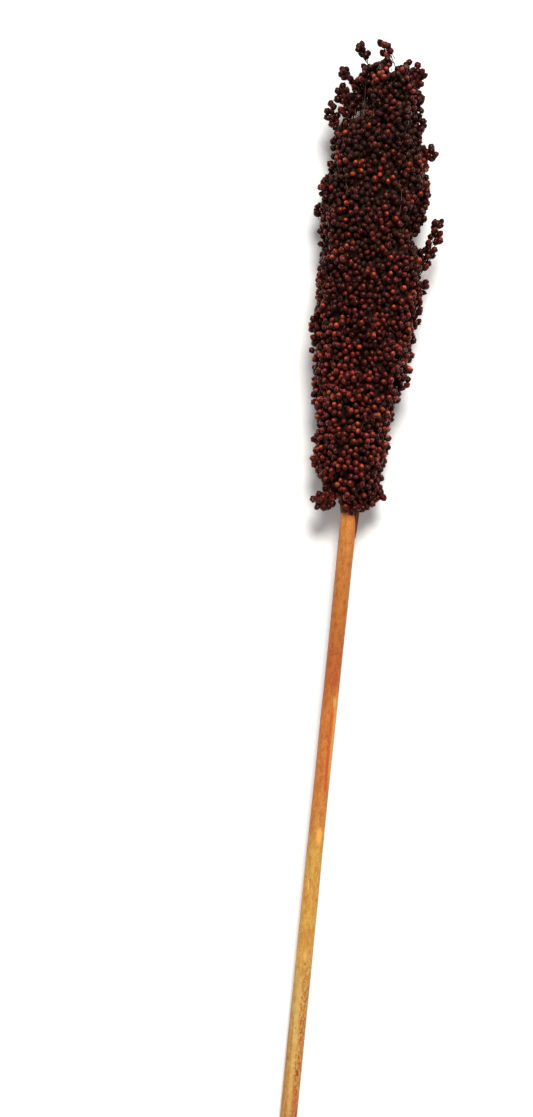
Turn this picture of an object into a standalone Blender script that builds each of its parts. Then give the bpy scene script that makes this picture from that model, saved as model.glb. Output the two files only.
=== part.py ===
"""A dried sorghum seed head on its cut stem, lying on its side as picked.

The stem runs along +Y and ends in a short peg inside the head. The head is one body: its surface bulges in
long lobes, each the end of one branch, and is covered with round seeds, larger than life. Loose sprigs stand
out at the tip, sides and foot, and a thin sheath closes round the top of the stem. The underside of the head
is pressed flatter where it lies. +Z is up and the surface it lies on is at z = 0.
"""

import math
import random

import bmesh
import bpy
import numpy as np
from mathutils import Quaternion, Vector
from mathutils.geometry import delaunay_2d_cdt

MM = 0.001

# Lengths along the plant, from the cut end of the stem.
NECK_Y = 430.0 * MM
HEAD_TOP_Y = 752.0 * MM
PEG_END_Y = 458.0 * MM

# The middle line of the plant: (along, sideways, height over the surface).
AXIS_STATIONS = [
    (0.0 * MM, 0.0 * MM, 6.0 * MM),
    (220.0 * MM, 3.8 * MM, 15.6 * MM),
    (430.0 * MM, 8.0 * MM, 24.8 * MM),
    (560.0 * MM, 9.5 * MM, 30.5 * MM),
    (660.0 * MM, 9.3 * MM, 31.5 * MM),
    (770.0 * MM, 4.0 * MM, 30.5 * MM),
]

# Radius of the stem: (along, radius).
STEM_STATIONS = [
    (0.0 * MM, 6.15 * MM),
    (120.0 * MM, 5.95 * MM),
    (260.0 * MM, 5.55 * MM),
    (400.0 * MM, 5.65 * MM),
    (430.0 * MM, 5.9 * MM),
    (458.0 * MM, 5.3 * MM),
]
SIDES = 16
STEM_RINGS_Y = [y * MM for y in (0.0, 70.0, 150.0, 230.0, 310.0, 380.0)]
PEG_RINGS_Y = [y * MM for y in (405.0, 420.0, 434.0, 448.0)]

# The surface of the head under its seeds: (along, radius).
PROFILE = [
    (435.0 * MM, 7.4 * MM),
    (437.0 * MM, 11.0 * MM),
    (442.0 * MM, 15.5 * MM),
    (454.0 * MM, 19.5 * MM),
    (480.0 * MM, 24.0 * MM),
    (515.0 * MM, 29.0 * MM),
    (555.0 * MM, 33.0 * MM),
    (600.0 * MM, 35.5 * MM),
    (650.0 * MM, 34.0 * MM),
    (700.0 * MM, 31.0 * MM),
    (726.0 * MM, 28.0 * MM),
    (740.0 * MM, 22.0 * MM),
    (746.0 * MM, 14.0 * MM),
    (748.0 * MM, 6.0 * MM),
]
PROFILE_STEP = 0.5 * MM
TIP_Y = 748.6 * MM
TIP_SIDES = 8

# The lobes of the head: each is the seed-bearing end of one branch.
GOLDEN_ANGLE = math.pi * (3.0 - math.sqrt(5.0))
LOBES = 84
LOBE_LENGTH = (47.6 * MM, 62.7 * MM)
LOBE_RADIUS = (7.4 * MM, 9.0 * MM)
LOBE_TIPS_Y = (462.0 * MM, 738.0 * MM)
LOBE_TIP_STRAY = 5.0 * MM
LOBE_TURN_STRAY = 0.12
LOBE_TWIST = 0.1
LOBE_PROUD = (-2.5 * MM, 1.0 * MM)
ROOT_DEPTH = 12.0 * MM
ROOT_LEAST = 5.5 * MM
ROOT_LEAST_Y = 435.0 * MM
LOBE_BLUNTNESS = 2.6
LOBE_SEED = 11

# The lobes as one surface, read off as a table of radii, and how far it may depart from the profile.
SKIN_RINGS = 81
SKIN_TURNS = 48
SKIN_BLURS = 2
RAY_STEP = 0.5 * MM
RAY_REACH = 46.0 * MM
RELIEF = (-3.0 * MM, 2.0 * MM)
RELIEF_FADE_Y = [y * MM for y in (444.0, 466.0, 716.0, 738.0)]

# Where the head lies, everything below PRESS_HEIGHT is pressed up towards LOWEST.
PRESS_HEIGHT = 12.0 * MM
PRESS_FROM = -8.5 * MM
PRESS_POWER = 1.1
LOWEST = -0.8 * MM

# Seeds, larger than life so that few of them cover the head. Margins and the least gap are measured on the
# unrolled surface, where a full turn is 2 pi.
SEED_SPACING = 9.8 * MM
SEED_HEIGHT = 5.8 * MM
SEED_VARIETY = (0.88, 1.12)
SEED_SHOULDER = 0.66
SHOULDER_HEIGHT = 0.76
SHOULDER_SIDES = 6
SEED_TRIALS = 9000
SEED_SEED = 5
SEAM_MARGIN = 1.2
LEAST_GAP = 0.015
END_MARGIN = 0.16
CREASE_MARGIN = 0.053
SLOPE_STEP = 0.01

# The thin sheath at the neck, with a tongue down the right side of the stem.
PEG_GAP = 0.35 * MM
SHEATH_WALL = 1.1 * MM
SHEATH_Y = 431.0 * MM
TONGUE_LENGTH = 20.0 * MM
TONGUE_HALF_ANGLE = 0.75

# Loose sprigs: (root, tip, seeds). Points are (along, sideways, height from the middle line), sideways
# being measured from the straight line through both ends of the stem.
SPRIGS = {
    "tip_left": ((722.0, -2.0, 4.0), (757.0, -11.0, 3.0), 3),
    "tip_middle": ((715.0, 17.0, 6.0), (758.0, 8.0, 5.0), 4),
    "tip_right": ((705.0, 22.0, -4.0), (746.0, 29.0, -2.0), 4),
    "shoulder_left": ((690.0, -8.0, -6.0), (741.0, -20.0, -4.0), 4),
    "side_left": ((672.0, -12.0, 8.0), (713.0, -27.0, 8.0), 4),
    "side_right": ((588.0, 34.0, 3.0), (641.0, 53.0, 4.0), 5),
    "bump_right": ((660.0, 30.0, 10.0), (690.0, 44.0, 11.0), 3),
    "foot_left": ((452.0, 1.0, 4.0), (436.0, -12.0, 5.0), 4),
    "foot_right": ((456.0, 18.0, -3.0), (438.0, 24.0, -4.0), 3),
    "skirt_left": ((490.0, -8.0, 0.0), (470.0, -18.0, 1.0), 3),
    "skirt_back": ((460.0, 8.0, -8.0), (441.0, 9.0, -14.0), 3),
    "skirt_front": ((462.0, 12.0, 8.0), (441.0, 15.0, 15.0), 3),
}
SPRIG_STALK_RADII = (1.3 * MM, 0.8 * MM)
SPRIG_SEED_RADIUS = 3.6 * MM
SPRIG_SEED_OFFSET = 2.0 * MM
SPRIG_SEED_STEP = 5.2 * MM
SPRIG_BOW = 0.16
SPRIG_SIDES = 5
SPRIG_POINTS = 6
SEED_STRETCH = 1.1

# The slab that trims the underside to the surface.
SLAB_SIZE = 2.0
SLAB_DEPTH = 0.02

SMOOTH_ANGLE = math.radians(48.0)
STEM_COLOUR = (0.58, 0.24, 0.055, 1.0)
STEM_ROUGHNESS = 0.5
HEAD_COLOUR = (0.055, 0.012, 0.008, 1.0)
HEAD_ROUGHNESS = 0.35


def clear_scene():
    """Remove whatever the scene holds."""
    for obj in list(bpy.data.objects):
        bpy.data.objects.remove(obj, do_unlink=True)


def eased(stations, at):
    """The smooth curve through a table of stations, column by column, at one place or many."""
    table = np.array(stations)
    xs, columns = table[:, 0], table[:, 1:]
    slopes = np.gradient(columns, xs, axis=0)
    at = np.clip(np.atleast_1d(at), xs[0], xs[-1])
    k = np.clip(np.searchsorted(xs, at) - 1, 0, len(xs) - 2)
    width = (xs[k + 1] - xs[k])[:, None]
    t = ((at - xs[k]) / width[:, 0])[:, None]
    low, high = columns[k], columns[k + 1]
    return (
        low * (1 + 2 * t) * (1 - t) ** 2
        + high * t * t * (3 - 2 * t)
        + slopes[k] * width * t * (1 - t) ** 2
        - slopes[k + 1] * width * t * t * (1 - t)
    )


def axis_at(y):
    """Points of the middle line at these distances along it."""
    y = np.atleast_1d(y)
    side = eased(AXIS_STATIONS, y)
    return np.column_stack([side[:, 0], y, side[:, 1]])


def profile_table():
    """Along and radius of the surface under the seeds, with its conformal height, at close steps."""
    stations = np.array(PROFILE)
    chords = np.linalg.norm(np.diff(stations, axis=0), axis=1)
    reach = np.concatenate([[0.0], np.cumsum(chords)])
    at = np.arange(0.0, reach[-1], PROFILE_STEP)
    line = eased(np.column_stack([reach, stations]), at)
    steps = np.linalg.norm(np.diff(line, axis=0), axis=1)
    height = np.concatenate([[0.0], np.cumsum(steps / (0.5 * (line[1:, 1] + line[:-1, 1])))])
    return np.column_stack([height, line])


def head_radius(y):
    """Radius of the surface under the seeds at this distance."""
    stations = np.array(PROFILE)
    return float(np.interp(y, stations[:, 0], stations[:, 1]))


def stem_radius(y):
    """Radius of the stem at these distances."""
    return eased(STEM_STATIONS, y)[:, 0]


def around(y, radius, angle):
    """A point at this radius and angle round the middle line; angle 0 is +X and a quarter turn is +Z."""
    centre = axis_at(y)[0]
    return centre + radius * np.array([math.cos(angle), 0.0, math.sin(angle)])


def head_lobes():
    """Root, tip and radius of the lobes that cover the head, spread evenly over its area."""
    draw = random.Random(LOBE_SEED)
    ys = np.linspace(*LOBE_TIPS_Y, 200)
    area = np.cumsum([head_radius(y) for y in ys])
    area = (area - area[0]) / (area[-1] - area[0])
    lobes = []
    for k in range(LOBES):
        y = float(np.interp((k + 0.5) / LOBES, area, ys)) + draw.uniform(-1.0, 1.0) * LOBE_TIP_STRAY
        angle = k * GOLDEN_ANGLE + draw.uniform(-LOBE_TURN_STRAY, LOBE_TURN_STRAY)
        root_y = max(y - draw.uniform(*LOBE_LENGTH), ROOT_LEAST_Y)
        tip_radius = head_radius(y) + draw.uniform(*LOBE_PROUD)
        root_radius = max(head_radius(root_y) - ROOT_DEPTH, ROOT_LEAST)
        turn = draw.uniform(-LOBE_TWIST, LOBE_TWIST)
        root = around(root_y, root_radius, angle + turn)
        tip = around(y, tip_radius, angle - turn)
        lobes.append((root, tip, draw.uniform(*LOBE_RADIUS)))
    return lobes


def lobe_girth(share):
    """Share of a lobe's radius at a share of its length: blunt at both ends."""
    return np.sqrt(np.clip(1.0 - np.abs(2.0 * share - 1.0) ** LOBE_BLUNTNESS, 0.0, 1.0))


def depth_in_lobe(points, lobe):
    """How far each point lies inside a lobe; negative outside."""
    root, tip, radius = lobe
    along = tip - root
    t = np.clip((points - root) @ along / (along @ along), 0.0, 1.0)
    off = np.linalg.norm(points - root - t[:, None] * along, axis=1)
    return radius * lobe_girth(t) - off


def skin_table(lobes):
    """Radius of the outermost lobe, from the middle line, for each of SKIN_RINGS by SKIN_TURNS directions."""
    reach = np.arange(0.0, RAY_REACH, RAY_STEP)
    ys = np.linspace(NECK_Y, HEAD_TOP_Y, SKIN_RINGS)
    turns = np.arange(SKIN_TURNS) * math.tau / SKIN_TURNS
    out = np.column_stack([np.cos(turns), np.zeros(SKIN_TURNS), np.sin(turns)])
    rays = reach[None, :, None] * out[:, None, :]
    table = np.zeros((SKIN_RINGS, SKIN_TURNS))
    for row, y in enumerate(ys):
        points = (rays + axis_at(y)[0]).reshape(-1, 3)
        inside = np.zeros(len(points), bool)
        for lobe in lobes:
            if min(lobe[0][1], lobe[1][1]) < y < max(lobe[0][1], lobe[1][1]):
                inside |= depth_in_lobe(points, lobe) > 0.0
        inside = inside.reshape(SKIN_TURNS, len(reach))
        table[row] = (inside * reach).max(axis=1)
    for _ in range(SKIN_BLURS):
        table = (table + np.roll(table, 1, axis=1) + np.roll(table, -1, axis=1)) / 3
        table[1:-1] = (table[:-2] + table[1:-1] + table[2:]) / 3
    return table


def skin_radius(table, y, angle):
    """The skin table read at these distances and angles."""
    row = (np.clip(y, NECK_Y, HEAD_TOP_Y) - NECK_Y) / (HEAD_TOP_Y - NECK_Y) * (SKIN_RINGS - 1)
    low = np.clip(np.floor(row).astype(int), 0, SKIN_RINGS - 2)
    share = row - low
    turn = np.asarray(angle) / math.tau * SKIN_TURNS
    left = np.floor(turn).astype(int) % SKIN_TURNS
    right = (left + 1) % SKIN_TURNS
    between = turn - np.floor(turn)
    lower = table[low, left] * (1 - between) + table[low, right] * between
    upper = table[low + 1, left] * (1 - between) + table[low + 1, right] * between
    return lower * (1 - share) + upper * share


def pressed(points):
    """The points with the underside of the head pressed up to the surface it lies on."""
    points = points.copy()
    low = points[:, 2] < PRESS_HEIGHT
    share = np.clip((points[low, 2] - PRESS_FROM) / (PRESS_HEIGHT - PRESS_FROM), 0.0, 1.0)
    points[low, 2] = LOWEST + (PRESS_HEIGHT - LOWEST) * share**PRESS_POWER
    return points


class Skin:
    """The lobed surface under the seeds, read by angle and conformal height: shapes keep their form on it."""

    def __init__(self):
        self.profile = profile_table()
        self.relief = skin_table(head_lobes())
        self.top = float(self.profile[-1, 0])

    def ring(self, height):
        """Along and radius at these conformal heights."""
        table = self.profile
        return np.interp(height, table[:, 0], table[:, 1]), np.interp(height, table[:, 0], table[:, 2])

    def points(self, angle, height, proud):
        """Points this far proud of the surface."""
        y, radius = self.ring(height)
        after_y, after_radius = self.ring(height + SLOPE_STEP)
        before_y, before_radius = self.ring(height - SLOPE_STEP)
        tangent = np.column_stack([after_y - before_y, after_radius - before_radius])
        tangent /= np.linalg.norm(tangent, axis=1)[:, None]
        swell = np.clip(skin_radius(self.relief, y, angle) - radius, *RELIEF)
        proud = proud + swell * np.interp(y, RELIEF_FADE_Y, [0.0, 1.0, 1.0, 0.0])
        out = np.column_stack([np.cos(angle), np.zeros(len(y)), np.sin(angle)])
        centre = axis_at(y)
        centre[:, 1] -= tangent[:, 1] * proud
        return centre + (radius + tangent[:, 0] * proud)[:, None] * out


def round_seam(flat):
    """The flat points again on both sides of the seam, and the index of each in the first list."""
    index = np.arange(len(flat))
    right = index[flat[:, 0] < SEAM_MARGIN]
    left = index[flat[:, 0] > math.tau - SEAM_MARGIN]
    turn = np.array([math.tau, 0.0])
    return np.concatenate([flat, flat[right] + turn, flat[left] - turn]), np.concatenate([index, right, left])


def copies_joined(points, index, edges):
    """Each edge again between every pair of copies of its ends that lie on the same side of the seam."""
    copies = {}
    for k, original in enumerate(index):
        copies.setdefault(int(original), []).append(k)
    pairs = [(a, b) for start, end in edges for a in copies[start] for b in copies[end]]
    return [(a, b) for a, b in pairs if abs(points[a][0] - points[b][0]) < SEAM_MARGIN / 2]


def triangles_round(flat, edges=()):
    """Delaunay triangles of points on the unrolled surface, joined across the seam, that keep these edges."""
    points, index = round_seam(flat)
    kept = copies_joined(points, index, edges)
    made = delaunay_2d_cdt([Vector(point) for point in points], kept, [], 0, LEAST_GAP)
    found = {}
    for face in made[2]:
        corners = [made[3][k][0] for k in face]
        middle = sum(points[k][0] for k in corners) / 3
        if 0.0 <= middle < math.tau:
            joined = tuple(int(index[k]) for k in corners)
            found[tuple(sorted(joined))] = (joined, points[corners])
    return list(found.values())


def seed_peaks(skin):
    """Angle and conformal height of the middle of each seed, by random trial with a least distance."""
    draw = random.Random(SEED_SEED)
    ys, radii = skin.profile[:, 1], skin.profile[:, 2]
    steps = np.hypot(np.gradient(ys), np.gradient(radii))
    share = np.cumsum(radii * steps)
    share /= share[-1]
    height = np.interp([draw.random() for _ in range(SEED_TRIALS)], share, skin.profile[:, 0])
    angle = np.array([draw.uniform(0.0, math.tau) for _ in range(SEED_TRIALS)])
    inside = (height > END_MARGIN) & (height < skin.top - END_MARGIN)
    angle, height = angle[inside], height[inside]
    kept = thinned(skin.points(angle, height, 0.0), SEED_SPACING, draw)
    return np.column_stack([angle[kept], height[kept]])


def end_ring(height, sides):
    """Flat points of the ring that closes an end of the unrolled surface."""
    return np.column_stack([np.arange(sides) * math.tau / sides, np.full(sides, height)])


def round_centre(corners):
    """Centre of the circle through three flat points."""
    a, b, c = corners
    matrix = 2.0 * np.array([b - a, c - a])
    return np.linalg.solve(matrix, [b @ b - a @ a, c @ c - a @ a])


def creases(peaks, ends, top):
    """The creases between seeds, each on the line midway between two: flat points and edges.

    Also returns half the way from each seed to its nearest neighbour.
    """
    reach = np.full(len(peaks) + len(ends), np.inf)
    points, edges, sides = [], [], {}
    for joined, corners in triangles_round(np.concatenate([peaks, ends])):
        middle = round_centre(corners)
        kept = CREASE_MARGIN < middle[1] < top - CREASE_MARGIN
        if kept:
            points.append((middle[0] % math.tau, middle[1]))
        for k, n in ((0, 1), (1, 2), (2, 0)):
            gap = float(np.linalg.norm(corners[k] - corners[n])) / 2
            reach[joined[k]] = min(reach[joined[k]], gap)
            reach[joined[n]] = min(reach[joined[n]], gap)
            pair = tuple(sorted((joined[k], joined[n])))
            if kept and pair in sides:
                edges.append((sides[pair], len(points) - 1))
            elif kept:
                sides[pair] = len(points) - 1
    return np.array(points), edges, reach[: len(peaks)]


def shoulders(peaks, reach, heights, draw):
    """Flat points and heights of the ring of corners that rounds each seed."""
    turns = np.arange(SHOULDER_SIDES) * math.tau / SHOULDER_SIDES
    points = []
    for peak, wide in zip(peaks, reach):
        turned = turns + draw.uniform(0.0, math.tau)
        offset = SEED_SHOULDER * wide * np.column_stack([np.cos(turned), np.sin(turned)])
        points.append(peak + offset)
    points = np.concatenate(points)
    points[:, 0] %= math.tau
    return points, np.repeat(heights * SHOULDER_HEIGHT, SHOULDER_SIDES)


def seed_surface(bm, skin):
    """The seed-covered surface as faces in a bmesh; returns the vertices of its lower and upper end rings."""
    draw = random.Random(SEED_SEED)
    peaks = seed_peaks(skin)
    heights = np.array([SEED_HEIGHT * draw.uniform(*SEED_VARIETY) for _ in peaks])
    ends = np.concatenate([end_ring(0.0, SIDES), end_ring(skin.top, TIP_SIDES)])
    crease, edges, reach = creases(peaks, ends, skin.top)
    shoulder, shoulder_heights = shoulders(peaks, reach, heights, draw)
    flat = np.concatenate([peaks, shoulder, crease, ends])
    first = len(peaks) + len(shoulder)
    edges = [(first + start, first + end) for start, end in edges]
    proud = np.concatenate([heights, shoulder_heights, np.zeros(len(crease) + len(ends))])
    verts = [bm.verts.new(point) for point in pressed(skin.points(flat[:, 0], flat[:, 1], proud))]
    for joined, _ in triangles_round(flat, edges):
        bm.faces.new([verts[k] for k in joined])
    foot, tip = verts[-len(ends) : -TIP_SIDES], verts[-TIP_SIDES:]
    bmesh.ops.delete(bm, geom=[vert for vert in verts if not vert.link_faces], context="VERTS")
    return foot, tip


def frame_along(root, tip):
    """Length of a line and three directions: along it and two square to it."""
    along = np.subtract(tip, root)
    length = float(np.linalg.norm(along))
    forward = along / length
    side = np.cross(forward, [0.0, 0.0, 1.0] if abs(forward[2]) < 0.9 else [1.0, 0.0, 0.0])
    side /= np.linalg.norm(side)
    return length, forward, side, np.cross(side, forward)


def thinned(points, spacing, draw):
    """Indices of a random choice of points that keeps them this far apart."""
    grid, kept = {}, []
    order = list(range(len(points)))
    draw.shuffle(order)
    steps = (-1, 0, 1)
    for k in order:
        cell = tuple(int(math.floor(c / spacing)) for c in points[k])
        cells = [(cell[0] + i, cell[1] + j, cell[2] + m) for i in steps for j in steps for m in steps]
        near = [n for key in cells for n in grid.get(key, ())]
        if near and np.linalg.norm(points[near] - points[k], axis=1).min() < spacing:
            continue
        grid.setdefault(cell, []).append(k)
        kept.append(k)
    return kept


def ring_at(y, radius):
    """A ring of points round the middle line; y and radius may be one value or one a side."""
    angles = np.arange(SIDES) * math.tau / SIDES
    out = np.column_stack([np.cos(angles), np.zeros(SIDES), np.sin(angles)])
    return axis_at(np.broadcast_to(y, SIDES)) + np.broadcast_to(radius, SIDES)[:, None] * out


def bridge(bm, rows):
    """Faces between rows of vertices of equal count; a row of one vertex closes an end."""
    for low, high in zip(rows, rows[1:]):
        sides = max(len(low), len(high))
        for k in range(sides):
            n = (k + 1) % sides
            corners = [low[k % len(low)], low[n % len(low)], high[n % len(high)], high[k % len(high)]]
            bm.faces.new(list(dict.fromkeys(corners)))


def lattice(bm, rings):
    """Vertices and faces of rings of points of equal count, closed where a ring has one point."""
    bridge(bm, [[bm.verts.new(point) for point in ring] for ring in rings])
    bmesh.ops.recalc_face_normals(bm, faces=bm.faces)


def mesh_from(name, bm):
    """A mesh made from a bmesh, which is freed."""
    mesh = bpy.data.meshes.new(name)
    bm.to_mesh(mesh)
    bm.free()
    return mesh


def part_object(name, mesh, colour, roughness):
    """An object in the scene with its own material."""
    obj = bpy.data.objects.new(name, mesh)
    bpy.context.scene.collection.objects.link(obj)
    material = bpy.data.materials.new(name)
    material.use_nodes = True
    shader = material.node_tree.nodes["Principled BSDF"]
    shader.inputs["Base Color"].default_value = colour
    shader.inputs["Roughness"].default_value = roughness
    mesh.materials.append(material)
    return obj


def rod_mesh(ys, end_y, gap):
    """The stem, or with a gap the space it needs, ringed at these distances and ended flat."""
    bm = bmesh.new()
    rings = [ring_at(y, stem_radius(y)[0] + gap) for y in ys]
    end = ring_at(end_y, stem_radius(end_y)[0] + gap)
    lattice(bm, [axis_at(ys[0])] + rings + [end, axis_at(end_y)])
    return mesh_from("rod", bm)


def build_stem():
    """The stem, with a short peg inside the head."""
    mesh = rod_mesh(STEM_RINGS_Y + PEG_RINGS_Y, PEG_END_Y, 0.0)
    return part_object("stem", mesh, STEM_COLOUR, STEM_ROUGHNESS)


def build_core():
    """The seed-covered head closed at its tip, with the sheath at its foot."""
    bm = bmesh.new()
    skin = Skin()
    foot, tip = seed_surface(bm, skin)
    angles = np.arange(SIDES) * math.tau / SIDES
    across = (angles + math.pi) % math.tau - math.pi
    mouth = SHEATH_Y - TONGUE_LENGTH * np.exp(-((across / TONGUE_HALF_ANGLE) ** 2))
    outer = stem_radius(mouth) + PEG_GAP + SHEATH_WALL
    rows = [foot]
    for ring in (ring_at(mouth, outer), ring_at(mouth, outer / 2), axis_at(SHEATH_Y)):
        rows.append([bm.verts.new(point) for point in ring])
    bridge(bm, rows)
    bridge(bm, [tip, [bm.verts.new(axis_at(TIP_Y)[0])]])
    bmesh.ops.recalc_face_normals(bm, faces=bm.faces)
    return part_object("head", mesh_from("head", bm), HEAD_COLOUR, HEAD_ROUGHNESS)


def tube_mesh(path, radii, sides):
    """A closed tube along a path of points."""
    bm = bmesh.new()
    angles = np.arange(sides) * math.tau / sides
    _, _, side, up = frame_along(path[0], path[-1])
    out = np.cos(angles)[:, None] * side + np.sin(angles)[:, None] * up
    lattice(bm, [path[:1]] + [point + radius * out for point, radius in zip(path, radii)] + [path[-1:]])
    return mesh_from("stalk", bm)


def sprig_path(root, tip):
    """The line of a sprig from root to tip, bowed sideways out of the head."""
    ends = []
    for along, sideways, height in (root, tip):
        ends.append(np.array([sideways * MM, along * MM, height * MM + axis_at(along * MM)[0][2]]))
    run = ends[1] - ends[0]
    share = np.linspace(0.0, 1.0, SPRIG_POINTS)[:, None]
    bow = SPRIG_BOW * np.linalg.norm(run) * 4.0 * share * (1.0 - share)
    return ends[0] + share * run + bow * np.array([math.copysign(1.0, run[0]), 0.0, 0.0])


def seed_mesh():
    """A seed of radius 1, drawn out a little along Z."""
    bm = bmesh.new()
    bmesh.ops.create_icosphere(bm, subdivisions=1, radius=1.0)
    bmesh.ops.scale(bm, vec=(1.0, 1.0, SEED_STRETCH), verts=bm.verts)
    return mesh_from("seed", bm)


def add_seed(collection, mesh, place, direction, radius, draw):
    """One seed in the collection, turned at random about its own length."""
    seed = bpy.data.objects.new("seed", mesh)
    spin = Quaternion((0.0, 0.0, 1.0), draw.uniform(0.0, math.tau))
    seed.rotation_mode = "QUATERNION"
    seed.rotation_quaternion = Vector(direction).to_track_quat("Z", "Y") @ spin
    seed.location = Vector(place)
    seed.scale = (radius, radius, radius)
    collection.objects.link(seed)


def add_sprig(collection, mesh, sprig, draw):
    """A stalk with seeds along its outer end."""
    root, tip, seeds = sprig
    path = sprig_path(root, tip)
    radii = np.linspace(*SPRIG_STALK_RADII, SPRIG_POINTS)
    collection.objects.link(bpy.data.objects.new("stalk", tube_mesh(path, radii, SPRIG_SIDES)))
    steps = np.linalg.norm(np.diff(path, axis=0), axis=1)
    reach = np.concatenate([[0.0], np.cumsum(steps)])
    _, forward, side, up = frame_along(path[-2], path[-1])
    for k in range(seeds):
        at = reach[-1] - k * SPRIG_SEED_STEP
        centre = np.array([np.interp(at, reach, path[:, axis]) for axis in range(3)])
        out = math.cos(k * GOLDEN_ANGLE) * side + math.sin(k * GOLDEN_ANGLE) * up
        off = 0.0 if k == 0 else SPRIG_SEED_OFFSET
        add_seed(collection, mesh, centre + off * out, out + forward, SPRIG_SEED_RADIUS, draw)


def settle(obj):
    """Replace an object's mesh by what its modifiers make of it."""
    bpy.context.view_layer.update()
    graph = bpy.context.evaluated_depsgraph_get()
    mesh = bpy.data.meshes.new_from_object(obj.evaluated_get(graph), depsgraph=graph)
    obj.modifiers.clear()
    obj.data = mesh


def join_collection(obj, collection):
    """Fuse everything in a collection into an object and remove what the collection holds."""
    union = obj.modifiers.new("join", "BOOLEAN")
    union.operation = "UNION"
    union.operand_type = "COLLECTION"
    union.collection = collection
    union.solver = "MANIFOLD"
    settle(obj)
    for piece in list(collection.objects):
        bpy.data.objects.remove(piece, do_unlink=True)
    bpy.data.collections.remove(collection)


def cut_away(obj, mesh):
    """Cut the shape of a closed mesh out of an object."""
    cutter = bpy.data.objects.new("cutter", mesh)
    bpy.context.scene.collection.objects.link(cutter)
    cut = obj.modifiers.new("cut", "BOOLEAN")
    cut.operation = "DIFFERENCE"
    cut.object = cutter
    cut.solver = "MANIFOLD"
    settle(obj)
    bpy.data.objects.remove(cutter, do_unlink=True)


def slab_mesh():
    """The slab whose top is the surface the plant lies on."""
    bm = bmesh.new()
    bmesh.ops.create_cube(bm, size=1.0)
    bmesh.ops.scale(bm, vec=(SLAB_SIZE, SLAB_SIZE, SLAB_DEPTH), verts=bm.verts)
    bmesh.ops.translate(bm, vec=(0.0, 0.0, -SLAB_DEPTH / 2), verts=bm.verts)
    return mesh_from("slab", bm)


def keep_largest_body(obj):
    """Drop loose scraps and fill sealed hollows: only the surface with the most faces stays."""
    bm = bmesh.new()
    bm.from_mesh(obj.data)
    left, bodies = set(bm.faces), []
    while left:
        body, edge = set(), [left.pop()]
        while edge:
            face = edge.pop()
            body.add(face)
            near = {other for line in face.edges for other in line.link_faces} & left
            left -= near
            edge.extend(near)
        bodies.append(body)
    bodies.sort(key=len)
    scrap = [face for body in bodies[:-1] for face in body]
    bmesh.ops.delete(bm, geom=scrap, context="FACES")
    bm.to_mesh(obj.data)
    bm.free()


def build_head():
    """The head: seed-covered surface, sheath and sprigs fused into one body."""
    head = build_core()
    repeats = bpy.data.collections.new("repeats")
    bpy.context.scene.collection.children.link(repeats)
    draw = random.Random(SEED_SEED)
    mesh = seed_mesh()
    for sprig in SPRIGS.values():
        add_sprig(repeats, mesh, sprig, draw)
    join_collection(head, repeats)
    cut_away(head, rod_mesh(PEG_RINGS_Y, PEG_END_Y + PEG_GAP, PEG_GAP))
    return head


def centre_on_origin(parts):
    """Move the parts together so that the box round them stands centred on the origin."""
    points = np.array([vertex.co for part in parts for vertex in part.data.vertices])
    middle = (points.min(axis=0) + points.max(axis=0)) / 2
    for part in parts:
        for vertex in part.data.vertices:
            vertex.co.x -= middle[0]
            vertex.co.y -= middle[1]


def main():
    """Build the stem and the head."""
    clear_scene()
    parts = [build_stem(), build_head()]
    for part in parts:
        cut_away(part, slab_mesh())
        keep_largest_body(part)
        part.data.shade_smooth()
        part.data.set_sharp_from_angle(angle=SMOOTH_ANGLE)
    centre_on_origin(parts)


main()
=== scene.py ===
"""Looks for a dried sorghum seed head on its cut stem, lying on a pale floor under soft studio light.

The plant is laid out in its own lengths: along the stem from the cut end, sideways from the straight line through
both ends of the stem, and in height over the floor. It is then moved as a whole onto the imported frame. The head is
made of some four thousand seeds on a lobed surface, the outer ones in husks, with loose sprigs at the tip, sides
and foot.
"""

import logging
import math
import random
from collections.abc import Sequence
from dataclasses import dataclass, field
from enum import Enum

import bpy
import numpy as np
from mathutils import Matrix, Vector, noise


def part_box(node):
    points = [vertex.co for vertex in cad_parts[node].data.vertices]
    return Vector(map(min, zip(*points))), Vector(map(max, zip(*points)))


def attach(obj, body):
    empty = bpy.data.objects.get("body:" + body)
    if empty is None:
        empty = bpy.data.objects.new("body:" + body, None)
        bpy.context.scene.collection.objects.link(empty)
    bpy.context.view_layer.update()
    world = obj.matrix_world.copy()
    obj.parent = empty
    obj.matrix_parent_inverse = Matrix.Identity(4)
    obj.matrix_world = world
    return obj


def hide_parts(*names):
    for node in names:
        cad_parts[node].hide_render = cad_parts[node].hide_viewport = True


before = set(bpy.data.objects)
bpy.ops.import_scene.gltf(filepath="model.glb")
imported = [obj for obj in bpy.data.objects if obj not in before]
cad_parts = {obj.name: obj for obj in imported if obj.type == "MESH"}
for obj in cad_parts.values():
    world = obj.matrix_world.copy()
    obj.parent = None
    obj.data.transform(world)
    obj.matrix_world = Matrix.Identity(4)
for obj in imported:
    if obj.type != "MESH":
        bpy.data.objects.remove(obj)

MM = 0.001
GOLDEN_ANGLE = math.pi * (3.0 - math.sqrt(5.0))
ROWS_AT_ONCE = 400
Array = np.ndarray
Faces = list[tuple[int, ...]]
Stations = tuple[tuple[float, ...], ...]
Tints = tuple[tuple[float, str], ...]
Socket = bpy.types.NodeSocket

log = logging.getLogger("sorghum")


# ------------------------------------------------------------------ small helpers


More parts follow.
